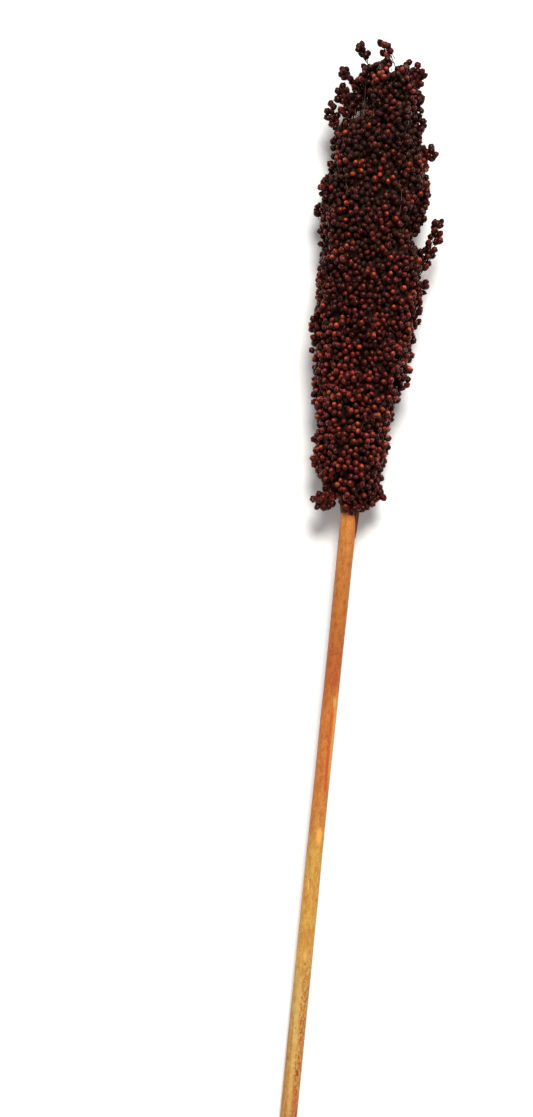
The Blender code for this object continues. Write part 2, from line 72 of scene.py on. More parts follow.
def linear(colour: str) -> tuple[float, float, float, float]:
    """Turn an sRGB hex colour into linear light.

    Args:
        colour: Six hex digits after a hash sign.

    Returns:
        Red, green, blue and an alpha of 1.
    """
    parts = [int(colour[k : k + 2], 16) / 255.0 for k in (1, 3, 5)]
    lin = [p / 12.92 if p <= 0.04045 else ((p + 0.055) / 1.055) ** 2.4 for p in parts]
    return lin[0], lin[1], lin[2], 1.0


def eased(stations: Stations, at: Array) -> Array:
    """Read a smooth curve through a table of stations, column by column.

    Args:
        stations: Rows of place and values, in mm.
        at: Places in metres.

    Returns:
        One row of values in metres for each place.
    """
    table = np.array(stations) * MM
    xs, columns = table[:, 0], table[:, 1:]
    slopes = np.gradient(columns, xs, axis=0)
    at = np.clip(np.atleast_1d(at), xs[0], xs[-1])
    k = np.clip(np.searchsorted(xs, at) - 1, 0, len(xs) - 2)
    width = (xs[k + 1] - xs[k])[:, None]
    t = ((at - xs[k]) / width[:, 0])[:, None]
    return (
        columns[k] * (1 + 2 * t) * (1 - t) ** 2
        + columns[k + 1] * t * t * (3 - 2 * t)
        + slopes[k] * width * t * (1 - t) ** 2
        - slopes[k + 1] * width * t * t * (1 - t)
    )


def looked_up(table: Stations, at: Array | float) -> Array:
    """Read a table of two columns, with straight lines between its rows."""
    return np.interp(at, *np.array(table).T)


def circle(sides: int) -> Array:
    """Angles at even steps round a full turn."""
    return np.arange(sides) * math.tau / sides


def spokes(angles: Array) -> Array:
    """Directions at these angles, square to the length of the plant."""
    return np.column_stack([np.cos(angles), np.zeros(len(angles)), np.sin(angles)])


def reach_along(path: Array) -> Array:
    """Length along a path up to each of its points."""
    return np.concatenate([[0.0], np.cumsum(np.linalg.norm(np.diff(path, axis=0), axis=1))])


def walked(path: Array, at: Array) -> Array:
    """Points at these lengths along a path."""
    reach = reach_along(path)
    return np.column_stack([np.interp(at, reach, path[:, axis]) for axis in range(3)])


def unit(vectors: Array) -> Array:
    """Scale each row to length one."""
    return vectors / np.maximum(np.linalg.norm(vectors, axis=-1, keepdims=True), 1e-12)


def frames(forward: Array, turns: Array) -> Array:
    """Make three square directions for each row, the third along it.

    Args:
        forward: Unit directions, one a row.
        turns: Angle of turn about each direction.

    Returns:
        An array of 3 by 3 matrices whose columns are the directions.
    """
    guide = np.where(np.abs(forward[:, 2:3]) < 0.9, [[0.0, 0.0, 1.0]], [[1.0, 0.0, 0.0]])
    side = unit(np.cross(forward, guide))
    up = np.cross(forward, side)
    first = side * np.cos(turns)[:, None] + up * np.sin(turns)[:, None]
    return np.stack([first, np.cross(forward, first), forward], axis=2)


def ripple(points: Array, size: float, seed: float = 0.0) -> Array:
    """Smooth noise from about -1 to 1 at points.

    Args:
        points: Places in metres.
        size: Width of one wave in metres.
        seed: Moves the pattern, so that two uses differ.

    Returns:
        One value a point.
    """
    shift = Vector((seed, 2.7 * seed, -1.3 * seed))
    return np.array([noise.noise(Vector(p) / size + shift) for p in points])


def thinned(points: Array, spacing: float, draw: random.Random) -> Array:
    """Choose points at random that keep a least distance.

    Args:
        points: Places in metres.
        spacing: The least distance.
        draw: Source of chance.

    Returns:
        Indices of the points kept.
    """
    grid: dict[tuple[int, ...], list[int]] = {}
    kept: list[int] = []
    order = list(range(len(points)))
    draw.shuffle(order)
    cells = np.floor(points / spacing).astype(int)
    steps = [(i, j, m) for i in (-1, 0, 1) for j in (-1, 0, 1) for m in (-1, 0, 1)]
    for k in order:
        i, j, m = cells[k]
        near = [n for a, b, c in steps for n in grid.get((i + a, j + b, m + c), ())]
        if near and ((points[near] - points[k]) ** 2).sum(axis=1).min() < spacing**2:
            continue
        grid.setdefault((i, j, m), []).append(k)
        kept.append(k)
    return np.array(kept, dtype=int)


def bridged(rows: Sequence[Sequence[int]]) -> Faces:
    """Join rings of vertex numbers with faces; a ring of one number closes an end."""
    faces: Faces = []
    for low, high in zip(rows, rows[1:]):
        sides = max(len(low), len(high))
        for k in range(sides):
            n = (k + 1) % sides
            ring = [low[k % len(low)], low[n % len(low)], high[n % len(high)], high[k % len(high)]]
            faces.append(tuple(dict.fromkeys(ring)))
    return faces


def numbered(rings: Sequence[Array]) -> tuple[Array, list[list[int]]]:
    """Stack rings of points and number them.

    Args:
        rings: Rings of points; one of a single point closes an end.

    Returns:
        All points, and the numbers of each ring's points.
    """
    rows, start = [], 0
    for ring in rings:
        rows.append(list(range(start, start + len(ring))))
        start += len(ring)
    return np.concatenate(rings), rows


@dataclass(frozen=True)
class MiddleLine:
    """The line through the middle of the plant."""

    stations: Stations = (
        (0.0, 0.0, 6.0), (220.0, 3.8, 15.6), (430.0, 8.0, 24.8), (560.0, 9.5, 30.5), (660.0, 9.3, 31.5),
        (770.0, 4.0, 30.5),
    )

    def at(self, along: Array) -> Array:
        """Points of the line at these distances along it."""
        along = np.atleast_1d(along)
        side = eased(self.stations, along)
        return np.column_stack([side[:, 0], along, side[:, 1]])


# ------------------------------------------------------------------ materials


class Mixture:
    """A material while its nodes are being added, with a Principled shader at its end."""

    def __init__(self, name: str, even: dict[str, float | tuple[float, ...]]) -> None:
        """Begin a material.

        Args:
            name: Its name.
            even: What is the same all over it, by the shader's input names.
        """
        self.material = bpy.data.materials.new(name)
        self.material.use_nodes = True
        self.tree = self.material.node_tree
        self.shader = self.tree.nodes["Principled BSDF"]
        for socket, value in even.items():
            self.shader.inputs[socket].default_value = value
        self.place = self.add("ShaderNodeTexCoord", {}).outputs["Object"]

    def add(self, kind: str, settings: dict) -> bpy.types.Node:
        """Add one node.

        Args:
            kind: Blender's name for the node type.
            settings: Values, or sockets to link, by property name, input name or input number; "stops" holds a
                ramp's places and colours.

        Returns:
            The new node.
        """
        node = self.tree.nodes.new(kind)
        for name, value in settings.items():
            if isinstance(value, Socket):
                self.tree.links.new(value, node.inputs[name])
            elif name == "stops":
                while len(node.color_ramp.elements) < len(value):
                    node.color_ramp.elements.new(1.0)
                for stop, (place, colour) in zip(node.color_ramp.elements, value):
                    stop.position = place
                    stop.color = linear(colour)
            elif isinstance(name, str) and hasattr(node, name):
                setattr(node, name, value)
            else:
                node.inputs[name].default_value = value
        return node

    def number(self, name: str) -> Socket:
        """A number that the mesh holds at each point."""
        return self.add("ShaderNodeAttribute", {"attribute_name": name}).outputs["Fac"]

    def ramp(self, share: Socket, stops: Tints) -> Socket:
        """Colours by places from 0 to 1."""
        return self.add("ShaderNodeValToRGB", {"stops": stops, "Fac": share}).outputs["Color"]

    def blend(self, share: Socket | float, under: Socket, over: Socket | str, kind: str = "MIX") -> Socket:
        """Lay a share of one colour over another.

        Args:
            share: How much of it, from 0 to 1.
            under: The colour below.
            over: The colour above.
            kind: Blender's name for how they mix.

        Returns:
            The colour.
        """
        above = linear(over) if isinstance(over, str) else over
        settings = {"data_type": "RGBA", "blend_type": kind, 0: share, 6: under, 7: above}
        return self.add("ShaderNodeMix", settings).outputs[2]

    def sums(self, operation: str, *terms: Socket | float, clamp: bool = False) -> Socket:
        """The result of one sum, held from 0 to 1 if clamped."""
        settings = {"operation": operation, "use_clamp": clamp, **dict(enumerate(terms))}
        return self.add("ShaderNodeMath", settings).outputs[0]

    def spread(self, value: Socket, low: float, high: float, least: float = 0.0, most: float = 1.0) -> Socket:
        """Carry a number from the range low to high over to the range least to most, and hold it there."""
        settings = {"Value": value, "From Min": low, "From Max": high, "To Min": least, "To Max": most}
        return self.add("ShaderNodeMapRange", settings).outputs["Result"]

    def grain(self, across: float, along: float, detail: float = 3.0) -> Socket:
        """Noise drawn out along the stem.

        Args:
            across: Width of a streak in mm.
            along: Length of a streak in mm.
            detail: How many finer layers it has.

        Returns:
            The noise value, around 0.5.
        """
        scale = (1.0 / (across * MM), 1.0 / (along * MM), 1.0 / (across * MM))
        mapped = self.add("ShaderNodeMapping", {"Vector": self.place, "Scale": scale}).outputs["Vector"]
        return self.add("ShaderNodeTexNoise", {"Vector": mapped, "Scale": 1.0, "Detail": detail}).outputs["Fac"]

    def done(
        self, colour: Socket, height: Socket | None = None, relief: tuple[float, float] = (0.0, 0.0)
    ) -> bpy.types.Material:
        """Give the shader its colour and relief.

        Args:
            colour: The colour.
            height: Height of the relief, as a share.
            relief: Its strength, and its depth in mm.

        Returns:
            The finished material.
        """
        self.tree.links.new(colour, self.shader.inputs["Base Color"])
        if height is not None:
            settings = {"Strength": relief[0], "Distance": relief[1] * MM, "Height": height}
            bump = self.add("ShaderNodeBump", settings)
            self.tree.links.new(bump.outputs["Normal"], self.shader.inputs["Normal"])
        return self.material


@dataclass(frozen=True)
class Finish:
    """A material with a Principled shader, whose colour and relief the finishes below fill in."""

    name: str
    roughness: float
    ior: float
    gloss: float = 0.5
    gloss_tint: str = "#FFFFFF"
    relief: tuple[float, float] = (0.0, 0.0)

    def start(self) -> Mixture:
        """Begin the material with what is the same all over it."""
        even = {"Roughness": self.roughness, "IOR": self.ior, "Specular IOR Level": self.gloss}
        return Mixture(self.name, {**even, "Specular Tint": linear(self.gloss_tint)})


@dataclass(frozen=True)
class SeedCoat(Finish):
    """Dry sorghum grain: a hard waxy seed coat, naturally ripened and air-dried.

    Each seed catches a soft highlight on a red-brown body, from purple-black to bright russet between seeds. Its lower
    part is painted darker as shade, and seeds deep among the others are painted dark as shade.
    """

    name: str = "sorghum_grain_coat"
    roughness: float = 0.33
    ior: float = 1.45
    gloss: float = 0.42
    gloss_tint: str = "#FFAA8C"
    relief: tuple[float, float] = (0.25, 0.06)
    deep_roughness: float = 0.4
    tones: Tints = (
        (0.0, "#341412"), (0.35, "#531D1B"), (0.6, "#7E2D28"), (0.82, "#A83E2E"), (1.0, "#CE6038"),
    )
    plum: str = "#4E1E28"
    shade_colour: str = "#221714"
    mottle: Tints = ((0.3, "#B4A8A4"), (0.65, "#FFFFFF"))
    # Painted shade along each seed from base to tip by its height: dark where the husk holds it, full colour near the
    # tip, then the dark dry point.
    ends: Tints = (
        (0.4, "#6A5654"), (0.7, "#806A67"), (0.9, "#FFFFFF"), (0.95, "#FFFFFF"), (0.99, "#7A5A50"),
    )
    mottle_mm: float = 0.9
    wrinkle_mm: float = 0.35

    def make(self) -> bpy.types.Material:
        """Make the material."""
        mix = self.start()
        depth = mix.number("depth")
        coat = mix.blend(mix.number("plum"), mix.ramp(mix.number("tone"), self.tones), self.plum)
        mottled = mix.ramp(mix.grain(self.mottle_mm, self.mottle_mm), self.mottle)
        # Painted shade: each seed is darkened from its base, where the husk holds it, up to a lit tip; the dark dry
        # point at its tip is its own colour.
        for layer in (mottled, mix.ramp(mix.number("rise"), self.ends)):
            coat = mix.blend(1.0, coat, layer, "MULTIPLY")
        # Deep among the branches the coats are painted dark as shade, and made rougher and duller.
        rough = mix.sums("MULTIPLY_ADD", depth, self.deep_roughness, self.roughness)
        mix.tree.links.new(rough, mix.shader.inputs["Roughness"])
        wrinkles = mix.grain(self.wrinkle_mm, self.wrinkle_mm)
        return mix.done(mix.blend(depth, coat, self.shade_colour), wrinkles, self.relief)


@dataclass(frozen=True)
class Husk(Finish):
    """Dry sorghum husk and branchlets: papery, ribbed and matt, near black with brown edges, and painted darker as
    shade deep among the seeds.
    """

    name: str = "sorghum_husk"
    roughness: float = 0.7
    ior: float = 1.45
    gloss: float = 0.08
    gloss_tint: str = "#B08070"
    relief: tuple[float, float] = (0.4, 0.1)
    tones: Tints = ((0.0, "#221210"), (0.4, "#3E1917"), (0.8, "#5A221F"), (1.0, "#7C3E30"))
    shade_colour: str = "#221714"
    rib_mm: float = 0.5
    rib_tone: float = 0.9

    def make(self) -> bpy.types.Material:
        """Make the material."""
        mix = self.start()
        ribs = mix.grain(self.rib_mm, 3.0 * self.rib_mm)
        raised = mix.sums("MULTIPLY_ADD", ribs, self.rib_tone, mix.number("tone"), clamp=True)
        skin = mix.ramp(mix.sums("SUBTRACT", raised, 0.5 * self.rib_tone, clamp=True), self.tones)
        # Deep among the seeds the husks are painted dark as shade.
        return mix.done(mix.blend(mix.number("depth"), skin, self.shade_colour), ribs, self.relief)


@dataclass(frozen=True)
class DryStalk(Finish):
    """Fine dry branches of the head: stiff straw with a slight gloss, brown to purple, paler where rubbed."""

    name: str = "sorghum_branch_straw"
    roughness: float = 0.5
    ior: float = 1.46
    gloss: float = 0.15
    relief: tuple[float, float] = (0.3, 0.05)
    stops: Tints = ((0.35, "#2E1712"), (0.55, "#4E2C22"), (0.75, "#7A4E36"))
    streak_mm: tuple[float, float] = (1.5, 9.0)
    fibre_mm: tuple[float, float] = (0.2, 4.0)

    def make(self) -> bpy.types.Material:
        """Make the material."""
        mix = self.start()
        return mix.done(mix.ramp(mix.grain(*self.streak_mm), self.stops), mix.grain(*self.fibre_mm), self.relief)


@dataclass(frozen=True)
class Mark:
    """A mark on the stem, most its own colour and a few painted highlight or painted shadow: its place along and off
    the middle, half its length and width in mm, and its colour.
    """

    along: float
    off: float
    half_long: float
    half_wide: float
    tint: str
    strength: float = 0.6


@dataclass(frozen=True)
class CulmRind(Finish):
    """Dried sorghum stem: a smooth waxy rind, orange-brown under the head and tan with red flecks below.

    The wax gives a broad soft sheen, and it is stained, scarred and flecked where leaves and insects touched it. A pale
    streak down the lower stem is a painted highlight, and a dark band just below the sheath a painted shadow.
    """

    name: str = "sorghum_culm_rind"
    roughness: float = 0.5
    ior: float = 1.46
    gloss: float = 0.3
    relief: tuple[float, float] = (0.25, 0.1)
    line: MiddleLine = MiddleLine()
    origin: tuple[float, float] = (0.0, 0.0)
    stem_radius: float = 5.7
    bands: Tints = (
        (5.0, "#B5884A"), (30.0, "#BB944E"), (60.0, "#BD9A51"), (100.0, "#C09F57"), (120.0, "#C69B4C"),
        (131.0, "#BB8C41"), (140.0, "#C59C4A"), (160.0, "#C29243"), (178.0, "#C1984B"), (196.0, "#BF9446"),
        (207.0, "#BD8642"), (222.0, "#BC7E3A"), (240.0, "#BA7637"), (285.0, "#BA7132"), (302.0, "#B46E31"),
        (312.0, "#AB5E28"), (330.0, "#AA5E2A"), (345.0, "#AB6429"), (365.0, "#AE6B2A"), (395.0, "#B47434"),
        (425.0, "#BF7E3A"), (460.0, "#B26D32"),
    )
    marks_and_painted_light: tuple[Mark, ...] = (
        # Painted shadow of the sheath, across the stem just below its mouth.
        Mark(433.0, 0.0, 7.0, 9.0, "#8A4018", 0.6),
        Mark(423.0, 4.6, 14.0, 1.6, "#A85424", 0.6),
        Mark(331.6, -1.5, 0.35, 3.2, "#7A3B22", 0.75),
        Mark(332.5, 1.8, 0.3, 2.0, "#7A3B22", 0.6),
        Mark(330.5, -2.4, 0.3, 1.6, "#7A3B22", 0.6),
        Mark(313.5, 2.0, 6.0, 2.2, "#A0431F", 0.6),
        Mark(262.0, 2.3, 44.0, 0.7, "#AE3E1E", 0.6),
        Mark(248.0, 2.5, 15.0, 0.9, "#AE3A1A", 0.6),
        Mark(268.0, 4.7, 60.0, 1.3, "#DC9A4A", 0.55),
        Mark(298.0, 3.2, 4.0, 1.2, "#D8A058", 0.6),
        Mark(203.5, 2.2, 6.5, 2.6, "#E5A24A", 0.75),
        Mark(203.0, -2.3, 3.4, 2.8, "#A06C3A", 0.5),
        Mark(172.2, -1.3, 0.8, 0.55, "#7A4222", 0.85),
        Mark(174.0, -4.2, 0.9, 0.5, "#8A4A26", 0.7),
        Mark(168.5, -2.2, 4.0, 0.5, "#E2C27A", 0.5),
        Mark(117.6, 0.6, 4.6, 2.5, "#A87238", 0.6),
        Mark(117.8, 0.5, 3.6, 1.7, "#D0A058", 0.75),
        Mark(112.3, 1.0, 0.7, 0.9, "#8A4628", 0.8),
        Mark(131.5, -1.0, 4.0, 6.0, "#B47A3C", 0.4),
        # Painted highlight: pale streaks down the middle of the lower stem.
        Mark(70.0, -1.0, 34.0, 2.2, "#D2B770", 0.35),
        Mark(24.0, -0.6, 26.0, 1.6, "#D2B26C", 0.3),
        Mark(50.0, -5.4, 46.0, 1.1, "#A0602E", 0.55),
        Mark(66.7, -1.5, 0.5, 0.45, "#6E3E20", 0.85),
        Mark(45.0, -4.8, 1.1, 0.9, "#6E3620", 0.75),
        Mark(35.0, 3.1, 2.8, 0.8, "#7A2E18", 0.85),
        Mark(22.5, 1.8, 3.2, 1.3, "#B5552A", 0.65),
        Mark(13.5, 3.3, 4.0, 1.5, "#B05028", 0.65),
        Mark(6.0, 5.0, 3.4, 1.0, "#8A3018", 0.7),
    )
    mark_depth: float = 3.0
    mark_edge: tuple[float, float] = (1.15, 0.6)
    # The marks' edges are stirred: the size of the noise and how far it moves them, in mm.
    stir_size: float = 1.8
    stir_reach: float = 1.3
    # Tongues of one tint in the next: how far they reach, and their width and length, in mm.
    tongue_reach: float = 24.0
    tongue_mm: tuple[float, float] = (3.0, 22.0)
    # Fibres, soft stains and a fine tooth: width and length in mm, and shares of the tint below.
    textures: tuple[tuple[float, float, Tints], ...] = (
        (0.9, 30.0, ((0.3, "#F0E6DC"), (0.5, "#FFFFFF"))),
        (2.8, 5.5, ((0.34, "#E8D2BC"), (0.52, "#FBF5EE"), (0.68, "#FFFFFF"))),
        (1.1, 1.5, ((0.36, "#EEDCC6"), (0.55, "#FFFFFF"))),
    )
    # Flecks: width and length in mm, the noise value that they start at, and their colour.
    fleck_kinds: tuple[tuple[float, float, float, str], ...] = (
        (1.4, 2.0, 0.51, "#8E4018"),
        (2.6, 5.5, 0.54, "#A85826"),
    )
    fleck_along: tuple[float, float] = (118.0, 92.0)
    fleck_side: tuple[float, float] = (-1.0, 3.5)
    fleck_left_share: float = 0.18
    fleck_edge: float = 0.06
    fleck_strength: float = 0.85
    fibre_mm: tuple[float, float] = (0.6, 30.0)

    def make(self) -> bpy.types.Material:
        """Make the material."""
        mix = self.start()
        split = mix.add("ShaderNodeSeparateXYZ", {"Vector": mix.place}).outputs
        tongues = mix.grain(*self.tongue_mm, 4.0)
        ragged = mix.sums("MULTIPLY_ADD", tongues, self.tongue_reach * MM, split["Y"])
        low, high = self.bands[0][0], self.bands[-1][0]
        ends = [self.origin[1] + (end + 0.5 * self.tongue_reach) * MM for end in (low, high)]
        stops = tuple(((along - low) / (high - low), colour) for along, colour in self.bands)
        colour = mix.ramp(mix.spread(ragged, *ends), stops)
        for across, along, shades in self.textures:
            colour = mix.blend(1.0, colour, mix.ramp(mix.grain(across, along), shades), "MULTIPLY")
        colour = self.marked(mix, self.flecks(mix, split, colour))
        return mix.done(colour, mix.grain(*self.fibre_mm, 2.0), self.relief)

    def marked(self, mix: Mixture, colour: Socket) -> Socket:
        """Lay the single marks over the rind, each with an uneven edge; among them are a painted highlight streak and a
        painted shadow.

        Args:
            mix: The material.
            colour: The colour under the marks.

        Returns:
            The colour with the marks.
        """
        wave, moved = 1.0 / (self.stir_size * MM), (self.stir_reach * MM,) * 3
        stir = mix.add("ShaderNodeTexNoise", {"Vector": mix.place, "Scale": wave, "Detail": 3.0})
        stirred = {"operation": "MULTIPLY_ADD", 0: stir.outputs["Color"], 1: moved, 2: mix.place}
        uneven = mix.add("ShaderNodeVectorMath", stirred).outputs[0]
        for mark in self.marks_and_painted_light:
            middle = self.line.at(np.array([mark.along * MM]))[0]
            rise = math.sqrt(max(self.stem_radius**2 - mark.off**2, 0.0)) * MM
            # The stirring moves every place by half its reach on average.
            centre = np.array([self.origin[0] + mark.off * MM, self.origin[1], rise]) + middle
            centre += 0.5 * self.stir_reach * MM
            scale = 1.0 / (np.array([mark.half_wide, mark.half_long, self.mark_depth]) * MM)
            around = {"Vector": uneven, "Location": tuple(-centre * scale), "Scale": tuple(scale)}
            local = mix.add("ShaderNodeMapping", around).outputs["Vector"]
            reach = mix.add("ShaderNodeVectorMath", {"operation": "LENGTH", 0: local}).outputs["Value"]
            colour = mix.blend(mix.spread(reach, *self.mark_edge, most=mark.strength), colour, mark.tint)
        return colour

    def flecks(self, mix: Mixture, split: bpy.types.bpy_prop_collection, colour: Socket) -> Socket:
        """Lay red-brown flecks over the lower part of the stem, most of them to the right.

        Args:
            mix: The material.
            split: Sockets of the place's three numbers.
            colour: The colour under the flecks.

        Returns:
            The colour with the flecks.
        """
        lower = mix.spread(split["Y"], *(self.origin[1] + end * MM for end in self.fleck_along))
        sides = [self.origin[0] + side * MM for side in self.fleck_side]
        where = mix.sums("MULTIPLY", lower, mix.spread(split["X"], *sides, least=self.fleck_left_share))
        for across, along, cut, tint in self.fleck_kinds:
            spots = mix.spread(mix.grain(across, along), cut, cut + self.fleck_edge, most=self.fleck_strength)
            colour = mix.blend(mix.sums("MULTIPLY", spots, where), colour, tint)
        return colour


@dataclass(frozen=True)
class Pith(Finish):
    """Sorghum pith at the cut: a dry pale sponge, dotted with the darker ends of the fibres."""

    name: str = "sorghum_pith"
    roughness: float = 0.9
    ior: float = 1.4
    relief: tuple[float, float] = (0.6, 0.2)
    stops: Tints = ((0.12, "#8E6236"), (0.26, "#D9C49A"))
    bundle_mm: float = 1.1
    pore_mm: float = 0.4

    def make(self) -> bpy.types.Material:
        """Make the material."""
        mix = self.start()
        cells = mix.add("ShaderNodeTexVoronoi", {"Vector": mix.place, "Scale": 1.0 / (self.bundle_mm * MM)})
        colour = mix.ramp(cells.outputs["Distance"], self.stops)
        return mix.done(colour, mix.grain(self.pore_mm, self.pore_mm), self.relief)


@dataclass(frozen=True)
class LeafSheath(Finish):
    """Dried leaf sheath: thin ribbed leaf base, dark red-brown, with a fibrous dull surface."""

    name: str = "sorghum_leaf_sheath"
    roughness: float = 0.6
    ior: float = 1.45
    gloss: float = 0.15
    relief: tuple[float, float] = (0.6, 0.2)
    stops: Tints = ((0.3, "#2A0C06"), (0.5, "#541C0C"), (0.72, "#7A3A18"))
    rib_mm: tuple[float, float] = (0.7, 14.0)

    def make(self) -> bpy.types.Material:
        """Make the material."""
        mix = self.start()
        ribs = mix.grain(*self.rib_mm)
        return mix.done(mix.ramp(ribs, self.stops), ribs, self.relief)


@dataclass(frozen=True)
class MattCard(Finish):
    """Studio floor of matt white card, rolled smooth, with a faint tooth."""

    name: str = "matt_white_card"
    roughness: float = 0.9
    ior: float = 1.5
    stops: Tints = ((0.3, "#F1F0EE"), (0.7, "#F5F4F2"))
    tooth_mm: float = 1.5

    def make(self) -> bpy.types.Material:
        """Make the material."""
        mix = self.start()
        return mix.done(mix.ramp(mix.grain(self.tooth_mm, self.tooth_mm), self.stops))


# ------------------------------------------------------------------ form of the plant


@dataclass
class HeadForm:
    """The lobed surface that carries the seeds, read by angle round the middle line and unrolled height.

    The unrolled height grows with the path along the surface over its radius, so that shapes keep their form.
    Lengths are in mm in the fields.
    """

    line: MiddleLine
    profile: Stations = (
        (435.0, 7.4), (437.0, 11.0), (442.0, 15.5), (454.0, 19.5), (480.0, 24.0), (515.0, 29.0), (555.0, 33.0),
        (600.0, 35.5), (650.0, 34.0), (700.0, 31.0), (726.0, 28.0), (740.0, 22.0), (746.0, 14.0), (748.0, 6.0),
    )
    profile_step: float = 0.5
    lobes: int = 84
    lobe_length: tuple[float, float] = (47.6, 62.7)
    lobe_radius: tuple[float, float] = (7.4, 9.0)
    lobe_tips: tuple[float, float] = (462.0, 738.0)
    lobe_steps: int = 200
    lobe_stray: float = 5.0
    lobe_turn: float = 0.12
    lobe_twist: float = 0.1
    lobe_proud: tuple[float, float] = (-2.5, 1.0)
    lobe_bluntness: float = 2.6
    root_depth: float = 12.0
    root_least: float = 5.5
    root_least_along: float = 435.0
    relief: tuple[float, float] = (-4.5, 2.5)
    relief_fade: tuple[float, float, float, float] = (444.0, 466.0, 716.0, 738.0)
    rings: int = 81
    turns: int = 60
    span: tuple[float, float] = (430.0, 752.0)
    reach: float = 46.0
    reach_step: float = 0.5
    # By distance along: how far the head sways, the share of its left half that is kept, and hollows at its right.
    drift: Stations = (
        (440.0, 0.0), (466.0, -1.8), (560.0, -2.0), (582.0, -0.3), (612.0, -0.5), (632.0, -2.4), (706.0, -2.0),
        (726.0, 0.0),
    )
    left_share: Stations = (
        (668.0, 1.0), (680.0, 0.88), (699.0, 0.93), (709.0, 0.3), (724.0, 0.3), (752.0, 0.55),
    )
    right_trim: Stations = (
        (476.0, 0.0), (488.0, -6.5), (498.0, -5.0), (507.0, -3.5), (512.0, 0.0), (570.0, 0.0), (586.0, 2.0),
        (602.0, 1.5), (614.0, -2.0), (620.0, -8.0), (632.0, -7.0), (640.0, 0.0), (650.0, 2.5), (666.0, 0.5),
        (680.0, 2.5), (688.0, 0.0), (695.0, -2.5), (701.0, 0.0),
    )
    slope_step: float = 0.01
    normal_step: float = 0.05
    press_from: float = -8.5
    press_below: float = 12.0
    press_power: float = 1.1
    seed: int = 11
    table: Array = field(init=False)
    swell: Array = field(init=False)

    def __post_init__(self) -> None:
        """Work out the unrolled profile and the lobes' relief."""
        self.table = self._unrolled_profile()
        self.swell = self._lobe_relief()

    def _unrolled_profile(self) -> Array:
        """Rows of unrolled height, distance along and radius, at close steps."""
        stations = np.array(self.profile)
        reach = reach_along(stations)
        rows = tuple((float(r), float(a), float(b)) for r, (a, b) in zip(reach, stations))
        line = eased(rows, np.arange(0.0, reach[-1], self.profile_step) * MM)
        steps = np.linalg.norm(np.diff(line, axis=0), axis=1)
        height = np.concatenate([[0.0], np.cumsum(steps / (0.5 * (line[1:, 1] + line[:-1, 1])))])
        return np.column_stack([height, line])

    def radius_at(self, along: float) -> float:
        """Radius of the profile at a distance in mm, in mm."""
        return float(looked_up(self.profile, along))

    def lobe_lines(self) -> list[tuple[Array, Array, float]]:
        """Root, tip and radius of each lobe, spread evenly over the head's area, in metres."""
        draw = random.Random(self.seed)
        ys = np.linspace(*self.lobe_tips, self.lobe_steps)
        area = np.cumsum([self.radius_at(y) for y in ys])
        area = (area - area[0]) / (area[-1] - area[0])
        lobes = []
        for k in range(self.lobes):
            along = float(np.interp((k + 0.5) / self.lobes, area, ys)) + draw.uniform(-1.0, 1.0) * self.lobe_stray
            angle = k * GOLDEN_ANGLE + draw.uniform(-self.lobe_turn, self.lobe_turn)
            root = max(along - draw.uniform(*self.lobe_length), self.root_least_along)
            tip_radius = self.radius_at(along) + draw.uniform(*self.lobe_proud)
            root_radius = max(self.radius_at(root) - self.root_depth, self.root_least)
            turn = draw.uniform(-self.lobe_twist, self.lobe_twist)
            start = self.around(root, root_radius, angle + turn)
            end = self.around(along, tip_radius, angle - turn)
            lobes.append((start, end, draw.uniform(*self.lobe_radius) * MM))
        return lobes

    def around(self, along: float, radius: float, angle: float) -> Array:
        """A point at a distance, radius and angle round the middle line, given in mm."""
        centre = self.line.at(np.array([along * MM]))[0]
        return centre + radius * MM * np.array([math.cos(angle), 0.0, math.sin(angle)])

    def _lobe_relief(self) -> Array:
        """Radius of the outermost lobe for each ring and turn, smoothed."""
        reach = np.arange(0.0, self.reach, self.reach_step) * MM
        ys = np.linspace(*self.span, self.rings) * MM
        rays = reach[None, :, None] * spokes(circle(self.turns))[:, None, :]
        lobes = self.lobe_lines()
        found = np.zeros((self.rings, self.turns))
        for row, y in enumerate(ys):
            points = (rays + self.line.at(np.array([y]))[0]).reshape(-1, 3)
            inside = np.zeros(len(points), bool)
            for root, tip, radius in lobes:
                if not min(root[1], tip[1]) < y < max(root[1], tip[1]):
                    continue
                along = tip - root
                t = np.clip((points - root) @ along / (along @ along), 0.0, 1.0)
                off = np.linalg.norm(points - root - t[:, None] * along, axis=1)
                girth = np.sqrt(np.clip(1.0 - np.abs(2.0 * t - 1.0) ** self.lobe_bluntness, 0.0, 1.0))
                inside |= off < radius * girth
            found[row] = (inside.reshape(self.turns, len(reach)) * reach).max(axis=1)
        found = (found + np.roll(found, 1, axis=1) + np.roll(found, -1, axis=1)) / 3
        found[1:-1] = (found[:-2] + found[1:-1] + found[2:]) / 3
        return found

    def _lobe_radius(self, along: Array, angle: Array) -> Array:
        """The lobes' radius read at these distances and angles."""
        low, high = self.span[0] * MM, self.span[1] * MM
        row = (np.clip(along, low, high) - low) / (high - low) * (self.rings - 1)
        under = np.clip(np.floor(row).astype(int), 0, self.rings - 2)
        share = row - under
        turn = np.asarray(angle) / math.tau * self.turns
        left = np.floor(turn).astype(int) % self.turns
        right = (left + 1) % self.turns
        between = turn - np.floor(turn)
        lower = self.swell[under, left] * (1 - between) + self.swell[under, right] * between
        upper = self.swell[under + 1, left] * (1 - between) + self.swell[under + 1, right] * between
        return lower * (1 - share) + upper * share

    def ring(self, height: Array) -> tuple[Array, Array]:
        """Distance along and radius at unrolled heights, in metres."""
        along = np.interp(height, self.table[:, 0], self.table[:, 1])
        return along, np.interp(height, self.table[:, 0], self.table[:, 2])

